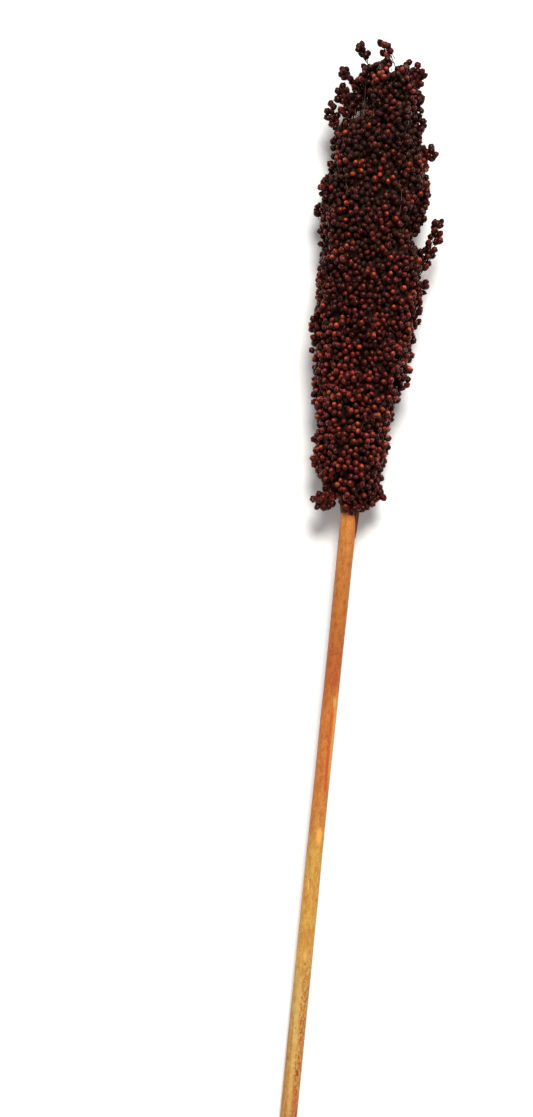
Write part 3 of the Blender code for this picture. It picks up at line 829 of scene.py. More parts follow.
    def points(self, angle: Array, height: Array, proud: Array | float) -> Array:
        """Find places on the lobed surface.

        Args:
            angle: Angles round the middle line.
            height: Unrolled heights.
            proud: How far outside the surface, in metres.

        Returns:
            One point a row.
        """
        along, radius = self.ring(height)
        after, before = self.ring(height + self.slope_step), self.ring(height - self.slope_step)
        tangent = unit(np.column_stack([after[0] - before[0], after[1] - before[1]]))
        limits = np.array(self.relief) * MM
        fade = np.interp(along, np.array(self.relief_fade) * MM, [0.0, 1.0, 1.0, 0.0])
        proud = proud + np.clip(self._lobe_radius(along, angle) - radius, *limits) * fade
        centre = self.line.at(along)
        centre[:, 1] -= tangent[:, 1] * proud
        return self._drawn_in(centre + (radius + tangent[:, 0] * proud)[:, None] * spokes(angle))

    def _drawn_in(self, points: Array) -> Array:
        """Let the head sway a little, draw in the left of its tip, and press hollows into its right side."""
        along = points[:, 1] / MM
        middle = self.line.at(points[:, 1])[:, 0]
        off = points[:, 0] - middle
        off = np.where(off < 0.0, off * looked_up(self.left_share, along), off)
        outer = np.clip(off / looked_up(self.profile, along) / MM, 0.0, 1.0) ** 2
        moved = looked_up(self.drift, along) + outer * looked_up(self.right_trim, along)
        points[:, 0] = middle + off + moved * MM
        return points

    def normals(self, angle: Array, height: Array) -> Array:
        """Outward directions of the lobed surface."""
        step = self.normal_step
        round_it = self.points(angle + step, height, 0.0) - self.points(angle - step, height, 0.0)
        up_it = self.points(angle, height + step, 0.0) - self.points(angle, height - step, 0.0)
        return unit(np.cross(up_it, round_it))

    def pressed(self, points: Array, lowest: float) -> Array:
        """Press the underside up where the head lies.

        Args:
            points: Places in metres.
            lowest: Height in mm that the lowest of them comes to.

        Returns:
            The points, moved.
        """
        points = points.copy()
        high, low = self.press_below * MM, self.press_from * MM
        under = points[:, 2] < high
        share = np.clip((points[under, 2] - low) / (high - low), 0.0, 1.0)
        points[under, 2] = lowest * MM + (high - lowest * MM) * share**self.press_power
        return points

    def scattered(self, count: int, draw: np.random.Generator) -> tuple[Array, Array]:
        """Random places spread evenly over the surface.

        Args:
            count: How many.
            draw: Source of chance.

        Returns:
            Their angles and unrolled heights.
        """
        share = np.cumsum(self.table[:, 2] * np.hypot(np.gradient(self.table[:, 1]), np.gradient(self.table[:, 2])))
        share /= share[-1]
        height = np.interp(draw.random(count), share, self.table[:, 0])
        return draw.uniform(0.0, math.tau, count), height


# ------------------------------------------------------------------ seeds


@dataclass
class Seeds:
    """Seeds to be made, one a row."""

    places: Array
    directions: Array
    radii: Array
    tones: Array
    depths: Array

    def columns(self) -> tuple[Array, ...]:
        """The five columns, in their order."""
        return self.places, self.directions, self.radii, self.tones, self.depths

    def chosen(self, rows: Array) -> "Seeds":
        """The seeds at these rows."""
        return Seeds(*(column[rows] for column in self.columns()))

    @staticmethod
    def joined(parts: Sequence["Seeds"]) -> "Seeds":
        """Several lots as one."""
        return Seeds(*(np.concatenate(columns) for columns in zip(*(part.columns() for part in parts))))


@dataclass
class PartMaker:
    """Makes the scene's pieces: moves them onto the frame, dresses them and tells the frame about them."""

    shift: Array

    def piece(
        self,
        name: str,
        points: Array,
        faces: Faces,
        material: bpy.types.Material,
        node: str,
        values: dict[str, Array] | None = None,
    ) -> bpy.types.Object:
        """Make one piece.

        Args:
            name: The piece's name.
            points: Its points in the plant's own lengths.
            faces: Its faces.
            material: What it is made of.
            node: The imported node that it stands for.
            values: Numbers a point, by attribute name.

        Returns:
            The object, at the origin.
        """
        points = points.copy()
        points[:, 2] = np.maximum(points[:, 2], 0.0)
        mesh = bpy.data.meshes.new(name)
        mesh.from_pydata((points + self.shift).tolist(), [], faces)
        for key, column in (values or {}).items():
            held = mesh.attributes.new(key, "FLOAT", "POINT")
            held.data.foreach_set("value", column.astype(np.float32))
        mesh.materials.append(material)
        mesh.shade_smooth()
        obj = bpy.data.objects.new(name, mesh)
        bpy.context.scene.collection.objects.link(obj)
        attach(obj, "root")
        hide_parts(node)
        log.info("%s: %d faces", name, len(mesh.polygons))
        return obj


@dataclass
class Grain:
    """One seed's shape: a round kernel with a small dry point, held in two husks on a short stalk.

    Sizes are shares of the seed's radius; the third direction runs from its base to its tip.
    """

    sides: int = 9
    outline: Stations = (
        (-1.02, 0.0), (-0.86, 0.46), (-0.42, 0.9), (0.1, 1.0), (0.58, 0.84), (0.92, 0.46), (1.08, 0.15), (1.2, 0.0),
    )
    plain_sides: int = 7
    plain_outline: Stations = ((-1.0, 0.0), (-0.62, 0.76), (0.05, 1.0), (0.66, 0.74), (1.0, 0.25), (1.12, 0.0))
    # Rows of a husk from its base to its point: angle from the seed's tip, half its spread, and radius.
    husk_rows: Stations = (
        (2.8, 0.7, 1.02), (2.25, 1.2, 1.08), (1.64, 1.1, 1.11), (1.2, 0.6, 1.15), (0.88, 0.0, 1.24),
    )
    husk_thick: float = 0.1
    stalk_reach: tuple[float, ...] = (-0.8, -0.9, -2.4, -2.6)
    stalk_radius: float = 0.13
    stalk_sides: int = 3

    def kernel(self, plain: bool) -> tuple[Array, Faces]:
        """Points and faces of the kernel; the plain one has fewer."""
        outline, sides = (self.plain_outline, self.plain_sides) if plain else (self.outline, self.sides)
        points, rows = numbered([self._level(radius, height, sides) for height, radius in outline])
        return points, bridged(rows)

    def husks(self) -> tuple[Array, Faces]:
        """Points and faces of both husks and the short stalk."""
        points: list[Array] = []
        faces: Faces = []
        for side in (0.0, math.pi):
            start = sum(len(p) for p in points)
            grid = []
            for polar, spread, radius in self.husk_rows:
                for turn in (-spread, 0.0, spread) if spread else (0.0,):
                    grid.append(self._on_ball(polar, turn + side, radius))
            for polar, spread, radius in self.husk_rows[1:4]:
                grid.append(self._on_ball(polar, side, radius - self.husk_thick))
            points.append(np.array(grid))
            # Points 0 to 11 are the outside's rows of three, 12 is the husk's point, and 13 to 15 line its middle.
            outer = [(k, k + 1, k + 4, k + 3) for k in (0, 1, 3, 4, 6, 7)] + [(9, 10, 12), (10, 11, 12)]
            inner = [(3, 13, 1, 0), (13, 5, 2, 1), (6, 14, 13, 3), (14, 8, 5, 13), (9, 15, 14, 6), (15, 11, 8, 14)]
            inner += [(12, 15, 9), (12, 11, 15)]
            faces += [tuple(start + k for k in face) for face in outer + inner]
        start = sum(len(p) for p in points)
        rings = [self._level(self.stalk_radius, height, self.stalk_sides) for height in self.stalk_reach]
        rings[0], rings[-1] = (ring.mean(axis=0, keepdims=True) for ring in (rings[0], rings[-1]))
        stalk, rows = numbered(rings)
        points.append(stalk)
        faces += [tuple(start + k for k in face) for face in bridged(rows)]
        return np.concatenate(points), faces

    @staticmethod
    def _level(radius: float, height: float, sides: int) -> Array:
        """A level ring of points, or one point where the radius is nought."""
        if radius == 0.0:
            return np.array([[0.0, 0.0, height]])
        turns = circle(sides)
        return np.column_stack([radius * np.cos(turns), radius * np.sin(turns), np.full(sides, height)])

    @staticmethod
    def _on_ball(polar: float, turn: float, radius: float) -> Array:
        """A point at an angle from the tip, a turn and a distance from the seed's middle."""
        flat = radius * math.sin(polar)
        return np.array([flat * math.cos(turn), flat * math.sin(turn), radius * math.cos(polar)])


class Layer(Enum):
    """How a seed is drawn: in full at the surface, and more plainly the deeper it is among the others."""

    OUTER = "full kernel in its husks"
    UNDER = "plain kernel in its husks"
    DEEP = "plain kernel"


@dataclass
class SeedBuilder:
    """Makes meshes of many seeds from the one grain, each turned and stretched a little."""

    maker: PartMaker
    coat: bpy.types.Material
    husk: bpy.types.Material
    grain: Grain = field(default_factory=Grain)
    stretch: tuple[float, float] = (0.98, 1.2)
    flatness: tuple[float, float] = (0.8, 1.0)
    plum: tuple[float, float] = (0.15, 0.3)
    plum_most: float = 0.8
    seed: int = 21

    def build(self, name: str, seeds: Seeds, layer: Layer) -> list[bpy.types.Object]:
        """Make the pieces of one lot of seeds.

        Args:
            name: Last part of the pieces' names.
            seeds: The seeds.
            layer: How they are drawn.

        Returns:
            The kernels and, at the surface, the husks.
        """
        draw = np.random.default_rng(self.seed + len(seeds.radii))
        count = len(seeds.radii)
        turned = frames(seeds.directions, draw.uniform(0.0, math.tau, count))
        flat, long = (seeds.radii * draw.uniform(*span, count) for span in (self.flatness, self.stretch))
        matrices = turned * np.column_stack([seeds.radii, flat, long])[:, None, :]
        kernel = self.grain.kernel(layer is not Layer.OUTER)
        made = [self._copies("kernels_" + name, seeds, matrices, kernel, self.coat)]
        if layer is not Layer.DEEP:
            made.append(self._copies("husks_" + name, seeds, matrices, self.grain.husks(), self.husk))
        return made

    def _copies(
        self,
        name: str,
        seeds: Seeds,
        matrices: Array,
        shape: tuple[Array, Faces],
        material: bpy.types.Material,
    ) -> bpy.types.Object:
        """One piece holding a copy of a shape at every seed."""
        template, faces = shape
        points = np.einsum("nij,mj->nmi", matrices, template) + seeds.places[:, None, :]
        count, size = len(seeds.radii), len(template)
        every: Faces = []
        for face in faces:
            corners = np.array(face)[None, :] + (np.arange(count) * size)[:, None]
            every.extend(map(tuple, corners.tolist()))
        # Height from base to tip, which sets the painted shade along each seed; depth sets the painted shade deep among
        # the seeds.
        low, high = template[:, 2].min(), template[:, 2].max()
        rise = np.tile((template[:, 2] - low) / (high - low), count)
        plum = np.clip(np.random.default_rng(count).normal(*self.plum, count), 0.0, self.plum_most)
        values = {
            "tone": np.repeat(seeds.tones, size),
            "rise": rise,
            "depth": np.repeat(seeds.depths, size),
            "plum": np.repeat(plum, size),
        }
        return self.maker.piece(name, points.reshape(-1, 3), every, material, "head", values)


# ------------------------------------------------------------------ sub-assemblies


@dataclass
class SeedMass:
    """The seeds that cover the head: an outer layer in husks, and deeper ones in its gaps. Lengths in mm."""

    form: HeadForm
    builder: SeedBuilder
    radius: tuple[float, float] = (1.92, 2.38)
    cluster_spacing: float = 8.2
    cluster_stray: float = 1.5
    stray_most: float = 1.5
    cluster_seeds: int = 7
    cluster_share: float = 0.86
    ring_radius: tuple[float, float] = (3.1, 4.5)
    ring_proud: tuple[float, float] = (-1.4, 0.4)
    ring_stray: float = 0.2
    ring_lean: float = 0.22
    middle_proud: float = 1.0
    middle_off: float = 0.6
    outer_spacing: float = 3.7
    trials: int = 26000
    void_size: float = 13.0
    # Deeper layers: name, how proud, spacing, distance kept from the others, depth, which sets their painted shade, and
    # share left as hollows.
    layers: tuple[tuple[str, float, float, float, float, float], ...] = (
        ("under", -1.9, 3.8, 3.1, 0.5, -0.5),
        ("inner", -4.2, 4.0, 2.8, 1.0, -2.0),
    )
    layer_stray: float = 0.6
    void_share: Stations = ((600.0, -0.4), (700.0, -0.28), (725.0, -0.1), (740.0, -0.2))
    bright_share: float = 0.4
    bright_by_along: Stations = (
        (440.0, 0.28), (470.0, 0.42), (545.0, 0.34), (580.0, 0.07), (640.0, -0.06), (700.0, -0.1), (742.0, -0.16),
    )
    bright_by_side: Stations = ((22.0, 0.0), (36.0, -0.1))
    # Painted shade: the seeds' tones darken towards the tip of the head.
    shade_by_along: Stations = ((570.0, 0.0), (640.0, -0.08), (690.0, -0.14), (725.0, -0.24))
    # How much the painted shade of the deeper layers grows or falls along the head.
    depth_by_along: Stations = ((500.0, -0.3), (590.0, -0.18), (650.0, 0.25))
    depth_spread: float = 0.15
    # How much darker the deeper layers' tones are painted, as shade.
    deep_shade_loss: float = 0.5
    # Tone of the bright and of the dull seeds, and how much of the painted shade towards the tip each takes.
    bright_tone: tuple[float, float] = (0.8, 0.1)
    dull_tone: tuple[float, float] = (0.33, 1.4)
    tone_spread: float = 0.12
    # Patches of tone, partly random ripeness and partly painted shade of dark clumps: strength, size and the noise's
    # seed, and how much of them goes into each seed's tone.
    patches: tuple[tuple[float, float, float], ...] = ((0.14, 60.0, 3.0), (0.32, 12.0, 9.0))
    patch_tone_and_shade: float = 0.6
    lean_share: float = 0.72
    lean_spread: float = 0.28
    lowest: float = 2.05
    zones: tuple[tuple[str, float], ...] = (
        ("foot", 505.0), ("lower", 565.0), ("middle", 620.0), ("upper", 680.0), ("tip", 800.0),
    )
    # How far along the head reaches at each place across, and how far to the left its foot does along it.
    top_edge: Stations = (
        (-12.0, 722.0), (-9.0, 733.0), (-6.5, 741.0), (-1.0, 742.0), (2.0, 744.5), (6.0, 747.0), (9.0, 749.0),
        (11.0, 746.0), (12.0, 737.0), (17.0, 737.0), (19.0, 743.0), (25.0, 745.0), (30.0, 741.0), (34.0, 733.0),
    )
    ragged: float = 1.6
    ragged_size: float = 6.0
    foot_edge: Stations = (
        (436.0, 3.0), (441.0, 0.0), (448.0, -4.5), (450.0, -8.0), (454.0, -11.5), (462.0, -40.0),
    )
    # Openings in the tip: their middles along and sideways, then half their length and width.
    openings: Stations = ((742.0, 13.4, 4.8, 3.6), (732.6, 12.7, 1.9, 3.2))
    seed: int = 5

    def tones_for(self, places: Array, draw: np.random.Generator) -> Array:
        """Tone of each seed: the bright ones are ripe russet and the others dull, dark and dusky; towards the tip all
        are painted darker as shade, and the patches are partly painted shade.
        """
        patches = sum(strength * ripple(places, size * MM, seed) for strength, size, seed in self.patches)
        side, along = places[:, 0] / MM, places[:, 1] / MM
        spread = draw.normal(size=len(places))
        share = self.bright_share + patches + looked_up(self.bright_by_along, along)
        bright = draw.random(len(places)) < share + looked_up(self.bright_by_side, side)
        shade = looked_up(self.shade_by_along, along)
        ripe, dull = (tone + taken * shade for tone, taken in (self.bright_tone, self.dull_tone))
        tone = np.where(bright, ripe, dull)
        return np.clip(tone + self.tone_spread * spread + self.patch_tone_and_shade * patches, 0.0, 1.0)

    def open_top(self, places: Array) -> Array:
        """Which places are left empty: over the ragged top, in its openings and beside the foot."""
        along, side = places[:, 1] / MM, places[:, 0] / MM
        edge = looked_up(self.top_edge, side) + self.ragged * ripple(places, self.ragged_size * MM, 5.0)
        bare = (along > edge) | (side < looked_up(self.foot_edge, along))
        for middle, across, half_long, half_wide in self.openings:
            bare |= ((along - middle) / half_long) ** 2 + ((side - across) / half_wide) ** 2 < 1.0
        return bare

    def _fullness(self, places: Array) -> Array:
        """Noise that is lowest in the hollows between branches."""
        return ripple(places, self.void_size * MM, 7.0)

    def clusters(self, draw: np.random.Generator, chance: random.Random) -> Seeds:
        """Place the outer seeds: rosettes, each the end of a branchlet, with one seed in the middle.

        Args:
            draw: Source of chance for places.
            chance: Source of chance for which are kept.

        Returns:
            The outer seeds.
        """
        angle, height = self.form.scattered(self.trials, draw)
        flat = self.form.points(angle, height, 0.0)
        usable = np.flatnonzero(self._fullness(flat) > looked_up(self.void_share, flat[:, 1] / MM))
        kept = usable[thinned(flat[usable], self.cluster_spacing * MM, chance)]
        normals = self.form.normals(angle[kept], height[kept])
        count, many = len(kept), self.cluster_seeds
        stray = self.cluster_stray * np.clip(draw.normal(size=count), -self.stray_most, self.stray_most)
        centres = flat[kept] + normals * (stray[:, None] * MM)
        turned = frames(normals, draw.uniform(0.0, math.tau, count))
        turns = np.arange(many) * math.tau / (many - 1) + draw.normal(0.0, self.ring_stray, (count, many))
        wide = draw.uniform(*self.ring_radius, (count, many))
        proud = draw.uniform(*self.ring_proud, (count, many))
        wide[:, 0], proud[:, 0] = self.middle_off, self.middle_proud
        side = wide[..., None] * (
            np.cos(turns)[..., None] * turned[:, None, :, 0] + np.sin(turns)[..., None] * turned[:, None, :, 1]
        )
        places = (centres[:, None, :] + (side + proud[..., None] * normals[:, None, :]) * MM).reshape(-1, 3)
        leans = (self.ring_lean * side + normals[:, None, :]).reshape(-1, 3)
        held = np.flatnonzero((draw.random(count * many) < self.cluster_share) & ~self.open_top(places))
        held = held[thinned(places[held], self.outer_spacing * MM, chance)]
        return self._lot(places[held], unit(leans[held]), draw, 0.0)

    def layout(self) -> dict[str, Seeds]:
        """Place the seeds.

        Returns:
            The outer ones and each deeper layer, by name.
        """
        draw = np.random.default_rng(self.seed)
        chance = random.Random(self.seed)
        lots = {"outer": self.clusters(draw, chance)}
        for name, proud_mm, spacing, clear_mm, depth, void_share in self.layers:
            angle, height = self.form.scattered(self.trials, draw)
            proud = proud_mm + self.layer_stray * draw.normal(size=self.trials)
            flat = self.form.points(angle, height, 0.0)
            places = self.form.points(angle, height, proud * MM)
            voids = self._fullness(flat) < void_share
            usable = np.flatnonzero(~voids & ~self.open_top(places))
            kept = usable[thinned(places[usable], spacing * MM, chance)]
            others = np.concatenate([lot.places for lot in lots.values()])
            clear = self._clear_of(self.form.pressed(places[kept], self.lowest), others)
            kept = kept[clear > clear_mm * MM]
            lots[name] = self._lot(places[kept], self.form.normals(angle[kept], height[kept]), draw, depth)
        log.info("seeds: %s", {name: len(lot.radii) for name, lot in lots.items()})
        return lots

    def _lot(self, places: Array, normals: Array, draw: np.random.Generator, depth: float) -> Seeds:
        """Seeds at places, leaning out and towards the tip of the head."""
        count = len(places)
        out, forward = self.lean_share * normals, np.array([0.0, self.lean_share, 0.0])
        lean = out + forward + self.lean_spread * draw.normal(size=(count, 3))
        places = self.form.pressed(places, self.lowest)
        # Painted shade: towards the tip the hollows are painted darker, and towards the foot lighter.
        shade = looked_up(self.depth_by_along, places[:, 1] / MM) if depth else 0.0
        depths = np.clip(depth + shade + self.depth_spread * draw.normal(size=count), 0.0, 1.0)
        tones = self.tones_for(places, draw) * (1.0 - self.deep_shade_loss * depth)
        return Seeds(places, unit(lean), draw.uniform(*self.radius, count) * MM, tones, depths)

    @staticmethod
    def _clear_of(places: Array, others: Array) -> Array:
        """Distance from each place to the nearest of the others, worked out in lots to spare memory."""
        lots = np.array_split(places, max(len(places) // ROWS_AT_ONCE, 1))
        return np.concatenate([np.linalg.norm(lot[:, None] - others[None], axis=2).min(axis=1) for lot in lots])

    def build(self) -> list[bpy.types.Object]:
        """Make the outer seeds zone by zone, and the deep ones."""
        lots = self.layout()
        outer = lots.pop("outer")
        made = []
        start = 0.0
        for name, end in self.zones:
            along = outer.places[:, 1] / MM
            made += self.builder.build(name, outer.chosen((along >= start) & (along < end)), Layer.OUTER)
            start = end
        for (name, lot), layer in zip(lots.items(), (Layer.UNDER, Layer.DEEP)):
            made += self.builder.build(name, lot, layer)
        return made


@dataclass
class HeadCore:
    """The matted branchlets and husks under the seeds, uneven, and painted dark as the shade deep under the seeds.
    Lengths in mm.
    """

    form: HeadForm
    maker: PartMaker
    matting: bpy.types.Material
    proud: float = -5.4
    lump: float = 1.3
    lump_size: float = 5.0
    lump_least_radius: float = 4.0
    tone: tuple[float, float] = (0.1, 0.2)
    tone_size: float = 3.0
    # How much of the painted shade colour the core takes.
    depth: float = 0.8
    around: int = 120
    rows: int = 150
    top_along: float = 719.0
    ends: tuple[float, float] = (437.0, 724.0)
    lowest: float = 1.4

    def build(self) -> bpy.types.Object:
        """Make the core."""
        last = float(np.interp(self.top_along * MM, self.form.table[:, 1], self.form.table[:, 0]))
        turns = circle(self.around)
        levels = [np.full(self.around, height) for height in np.linspace(0.0, last, self.rows)]
        low, high = (self.form.line.at(np.array([end * MM])) for end in self.ends)
        rings = [low, *(self.form.points(turns, level, self.proud * MM) for level in levels), high]
        points, rows = numbered(rings)
        middle = self.form.line.at(points[:, 1])
        out = points - middle
        radius = np.maximum(np.linalg.norm(out, axis=1, keepdims=True), self.lump_least_radius * MM)
        lumps = 1.0 + self.lump * MM * ripple(points, self.lump_size * MM, 2.0)[:, None] / radius
        points = self.form.pressed(middle + out * lumps, self.lowest)
        low, wave = self.tone
        tones = low + wave * ripple(points, self.tone_size * MM, 4.0)
        values = {"tone": tones, "depth": np.full(len(points), self.depth)}
        return self.maker.piece("core", points, bridged(rows), self.matting, "head", values)


@dataclass(frozen=True)
class Sprig:
    """A loose sprig. Its path runs through (along, sideways, height from the middle line) in mm.

    Its seeds stand at (along, sideways) in mm, or else a number of them is set along it by rule.
    """

    path: Stations
    placed: Stations = ()
    seeds: int = 0


@dataclass
class LooseSprigs:
    """The sprigs that stand out at the tip, sides and foot, with their fine stalks. Lengths in mm."""

    form: HeadForm
    mass: SeedMass
    maker: PartMaker
    straw: bpy.types.Material
    named: tuple[Sprig, ...] = (
        Sprig(
            ((740.1, -1.1, 1.0), (743.1, -2.7, 2.0), (750.0, -8.9, 3.0)),
            ((758.7, -9.6), (756.8, -11.5), (754.3, -12.0), (754.9, -8.9), (751.8, -9.0), (752.4, -4.9), (750.2, -6.1)),
        ),
        Sprig(
            ((739.5, 18.0, 3.0), (743.5, 15.2, 4.0), (751.6, 11.3, 5.0)),
            (
                (760.2, 3.2), (758.9, 5.9), (758.3, 8.4), (755.2, 10.4), (753.4, 5.4), (751.8, 8.4),
                (747.9, 8.4),
            ),
        ),
        Sprig(
            ((730.0, 2.0, 4.0), (741.0, 1.0, 8.0)),
            ((743.8, 1.4), (744.9, 5.9), (743.3, 7.8), (742.1, -6.8), (738.3, -5.8), (739.9, -3.2), (740.9, -0.4)),
        ),
        Sprig(
            ((722.0, 18.0, 3.0), (735.0, 22.5, 5.0), (746.4, 24.4, 4.0)),
            (
                (748.5, 24.2), (746.2, 22.0), (743.8, 22.5), (746.9, 30.3), (742.7, 27.2), (742.6, 33.5),
                (739.5, 35.4), (742.9, 16.8), (740.5, 17.6), (740.5, 20.7), (737.9, 27.9), (740.7, 24.2),
                (736.5, 31.9), (734.5, 21.2), (734.5, 17.6), (742.4, 30.4), (740.2, 30.6), (735.6, 29.5),
                (733.9, 26.8), (733.7, 33.6), (729.6, 27.8), (727.2, 32.4), (723.8, 34.6), (738.6, 33.4),
            ),
        ),
        Sprig(
            ((720.1, -5.8, 3.0), (729.5, -10.0, 4.0), (733.3, -15.3, 4.0), (739.3, -20.0, 3.0)),
            (
                (740.4, -19.0), (739.8, -22.1), (737.8, -20.9), (736.3, -22.2), (737.3, -18.4), (734.8, -18.5),
                (733.6, -16.0), (734.3, -20.3), (731.7, -14.4), (728.3, -12.4), (731.6, -10.9), (733.5, -9.3),
                (726.6, -11.9),
            ),
        ),
        Sprig(
            ((697.2, -10.9, 4.0), (712.2, -15.7, 5.0), (727.3, -20.4, 4.0)),
            (
                (728.3, -20.8), (724.2, -23.7), (724.7, -17.7), (724.1, -20.8), (720.5, -22.0), (721.1, -18.5),
                (718.3, -23.5), (717.8, -20.3), (716.0, -17.0), (718.0, -13.7), (715.0, -12.2), (711.1, -20.5),
                (712.4, -17.8), (712.7, -14.6), (708.2, -18.1), (708.1, -14.6), (703.7, -16.7), (710.5, -11.7),
            ),
        ),
        Sprig(
            ((693.8, -17.7, 2.0), (703.1, -24.8, 2.0), (714.1, -27.8, 1.0)),
            (
                (715.8, -28.2), (713.2, -25.9), (709.7, -29.9), (709.6, -26.7), (707.4, -23.3),
                (705.5, -29.5), (705.1, -26.3), (701.2, -26.0), (702.8, -23.3), (699.0, -23.4),
            ),
        ),
        Sprig(
            ((593.8, 39.6, 2.0), (610.5, 46.6, 3.0), (622.7, 49.9, 4.0), (632.7, 51.2, 4.0), (637.8, 54.3, 3.0)),
            (
                (639.3, 55.6), (637.7, 52.9), (637.9, 50.8), (636.5, 54.7), (635.1, 50.6), (632.3, 51.2),
                (630.5, 55.2), (629.6, 52.5), (627.9, 49.1), (624.4, 52.9), (625.6, 55.3), (623.6, 47.7),
                (620.8, 47.9), (619.1, 52.3), (617.7, 48.5), (615.1, 51.2), (618.6, 46.0), (616.5, 42.7),
                (613.8, 47.8), (612.5, 44.7), (609.3, 48.9), (608.9, 43.3), (606.3, 47.0),
            ),
        ),
        Sprig(
            ((672.8, 35.3, 2.0), (689.0, 43.8, 3.0)),
            ((690.8, 44.4), (688.0, 44.6), (685.4, 47.6), (684.7, 42.8), (682.8, 45.7)),
        ),
        Sprig(((696.0, 31.0, 3.0), (706.0, 37.0, 3.0)), ((708.0, 37.2), (704.8, 37.6), (702.0, 36.2))),
        Sprig(
            ((451.9, 4.0, 4.0), (446.4, -3.3, 7.0), (438.7, -11.1, 7.0)),
            (
                (438.8, -18.1), (442.7, -14.2), (438.8, -14.2), (433.5, -14.9), (436.0, -13.7), (433.5, -10.0),
                (434.5, -6.9), (438.2, -8.9), (436.8, -4.2), (443.1, -9.0), (440.5, -11.2), (440.2, -6.3),
                (446.5, -10.0), (449.1, -8.1), (439.2, -16.4), (436.4, -10.8), (441.9, -12.4), (444.6, -6.6),
                (438.4, -12.6), (441.5, -3.8), (435.4, -12.2),
            ),
        ),
        Sprig(
            ((489.7, -6.1, 2.0), (480.9, -19.4, 2.0)),
            ((480.8, -20.8), (483.0, -18.9), (485.6, -17.3), (479.3, -17.5), (476.3, -15.2)),
        ),
        Sprig(
            ((474.5, -2.7, 2.0), (465.5, -18.9, 3.0)),
            ((469.8, -17.1), (467.1, -20.4), (463.4, -19.0), (464.7, -16.0), (468.0, -14.1)),
        ),
        Sprig(((464.0, -1.9, 3.0), (453.3, -13.0, 4.0)), ((455.7, -14.2), (453.4, -11.6), (450.3, -10.6))),
        Sprig(
            ((456.6, 18.4, 0.0), (451.5, 25.1, 0.0), (444.8, 29.2, 0.0)),
            (
                (451.0, 28.0), (447.6, 28.9), (443.9, 30.9), (443.6, 27.2), (448.1, 26.4),
                (439.1, 23.7), (442.0, 25.5), (442.1, 21.7), (438.1, 20.6),
            ),
        ),
        Sprig(
            ((451.2, 13.2, 6.0), (437.4, 16.4, 8.0)),
            ((439.6, 17.3), (435.4, 17.3), (435.5, 14.1), (436.3, 20.0)),
        ),
        Sprig(((462.0, 8.0, -8.0), (441.0, 9.0, -14.0)), seeds=8),
        Sprig(((462.0, 22.0, -8.0), (442.0, 24.0, -10.0)), seeds=8),
        Sprig(((462.0, -6.0, -8.0), (444.0, -8.0, -8.0)), seeds=8),
    )
    tip_sprigs: int = 15
    tip_root: tuple[float, float] = (698.0, 712.0)
    tip_end: tuple[float, float] = (733.0, 750.0)
    tip_root_radius: tuple[float, float] = (9.0, 19.0)
    tip_end_radius: tuple[float, float] = (5.0, 24.0)
    tip_turn: float = 0.4
    tip_fall: tuple[float, float] = (0.5, 1.0)
    tip_seeds: tuple[int, int] = (9, 15)
    seed_radius: tuple[float, float] = (2.15, 2.55)
    seed_step: float = 2.1
    seed_offset: float = 2.25
    seed_stray: tuple[float, float] = (0.9, 1.2)
    lean_forward: float = 0.7
    lean_spread: float = 0.2
    tone_share: float = 0.85
    seed_lift: tuple[float, ...] = (-1.8, 0.2, 1.9, -0.4)
    stalk_radii: tuple[float, float] = (0.5, 0.26)
    thread_radius: float = 0.2
    # Branchlets between the seeds: their number, tops, lengths, turn, how proud each end is, and radii.
    branchlets: int = 60
    branchlet_tops: tuple[float, float] = (492.0, 733.0)
    branchlet_lengths: tuple[float, float] = (16.0, 34.0)
    branchlet_turn: float = 0.1
    branchlet_root_proud: float = -3.0
    branchlet_tip_proud: tuple[float, float] = (-1.0, 1.4)
    branchlet_radii: tuple[float, float] = (0.42, 0.22)
    branchlet_seed: int = 17
    stalk_sides: int = 5
    stalk_points: int = 9
    seed: int = 31
    tubes: list[tuple[Array, Array]] = field(default_factory=list)

    def path(self, sprig: Sprig) -> Array:
        """The line of a sprig's stalk, at even steps."""
        stops = np.array(sprig.path)
        middle = self.form.line.at(stops[:, 0] * MM)[:, 2] / MM
        stops = np.column_stack([stops[:, 1], stops[:, 0], middle + stops[:, 2]]) * MM
        return walked(stops, np.linspace(0.0, reach_along(stops)[-1], self.stalk_points))

    def seeds_on(self, sprig: Sprig, draw: np.random.Generator) -> Seeds:
        """Place a sprig's seeds and keep its stalks for later.

        Args:
            sprig: The sprig.
            draw: Source of chance.

        Returns:
            Its seeds.
        """
        path = self.path(sprig)
        forward = unit(path[-1] - path[-2])
        if sprig.placed:
            starts, ends = self._where_placed(sprig, path)
        else:
            starts, ends = self._by_rule(sprig, path, forward, draw)
            shown = ~self.mass.open_top(ends)
            starts, ends = starts[shown], ends[shown]
            path = path[~self.mass.open_top(path)]
        if len(path) > 2:
            self.tubes.append((path, np.linspace(*self.stalk_radii, len(path)) * MM))
        for start, end in zip(starts, ends):
            self.tubes.append((np.linspace(start, end, 3), np.full(3, self.thread_radius * MM)))
        stray = self.lean_spread * draw.normal(size=ends.shape)
        leans = unit(unit(ends - starts + 1e-6) + self.lean_forward * forward + stray)
        places = self.form.pressed(ends, self.mass.lowest)
        tones = self.mass.tones_for(places, draw) * self.tone_share
        radii = draw.uniform(*self.seed_radius, len(ends)) * MM
        return Seeds(places, leans, radii, tones, np.zeros(len(ends)))

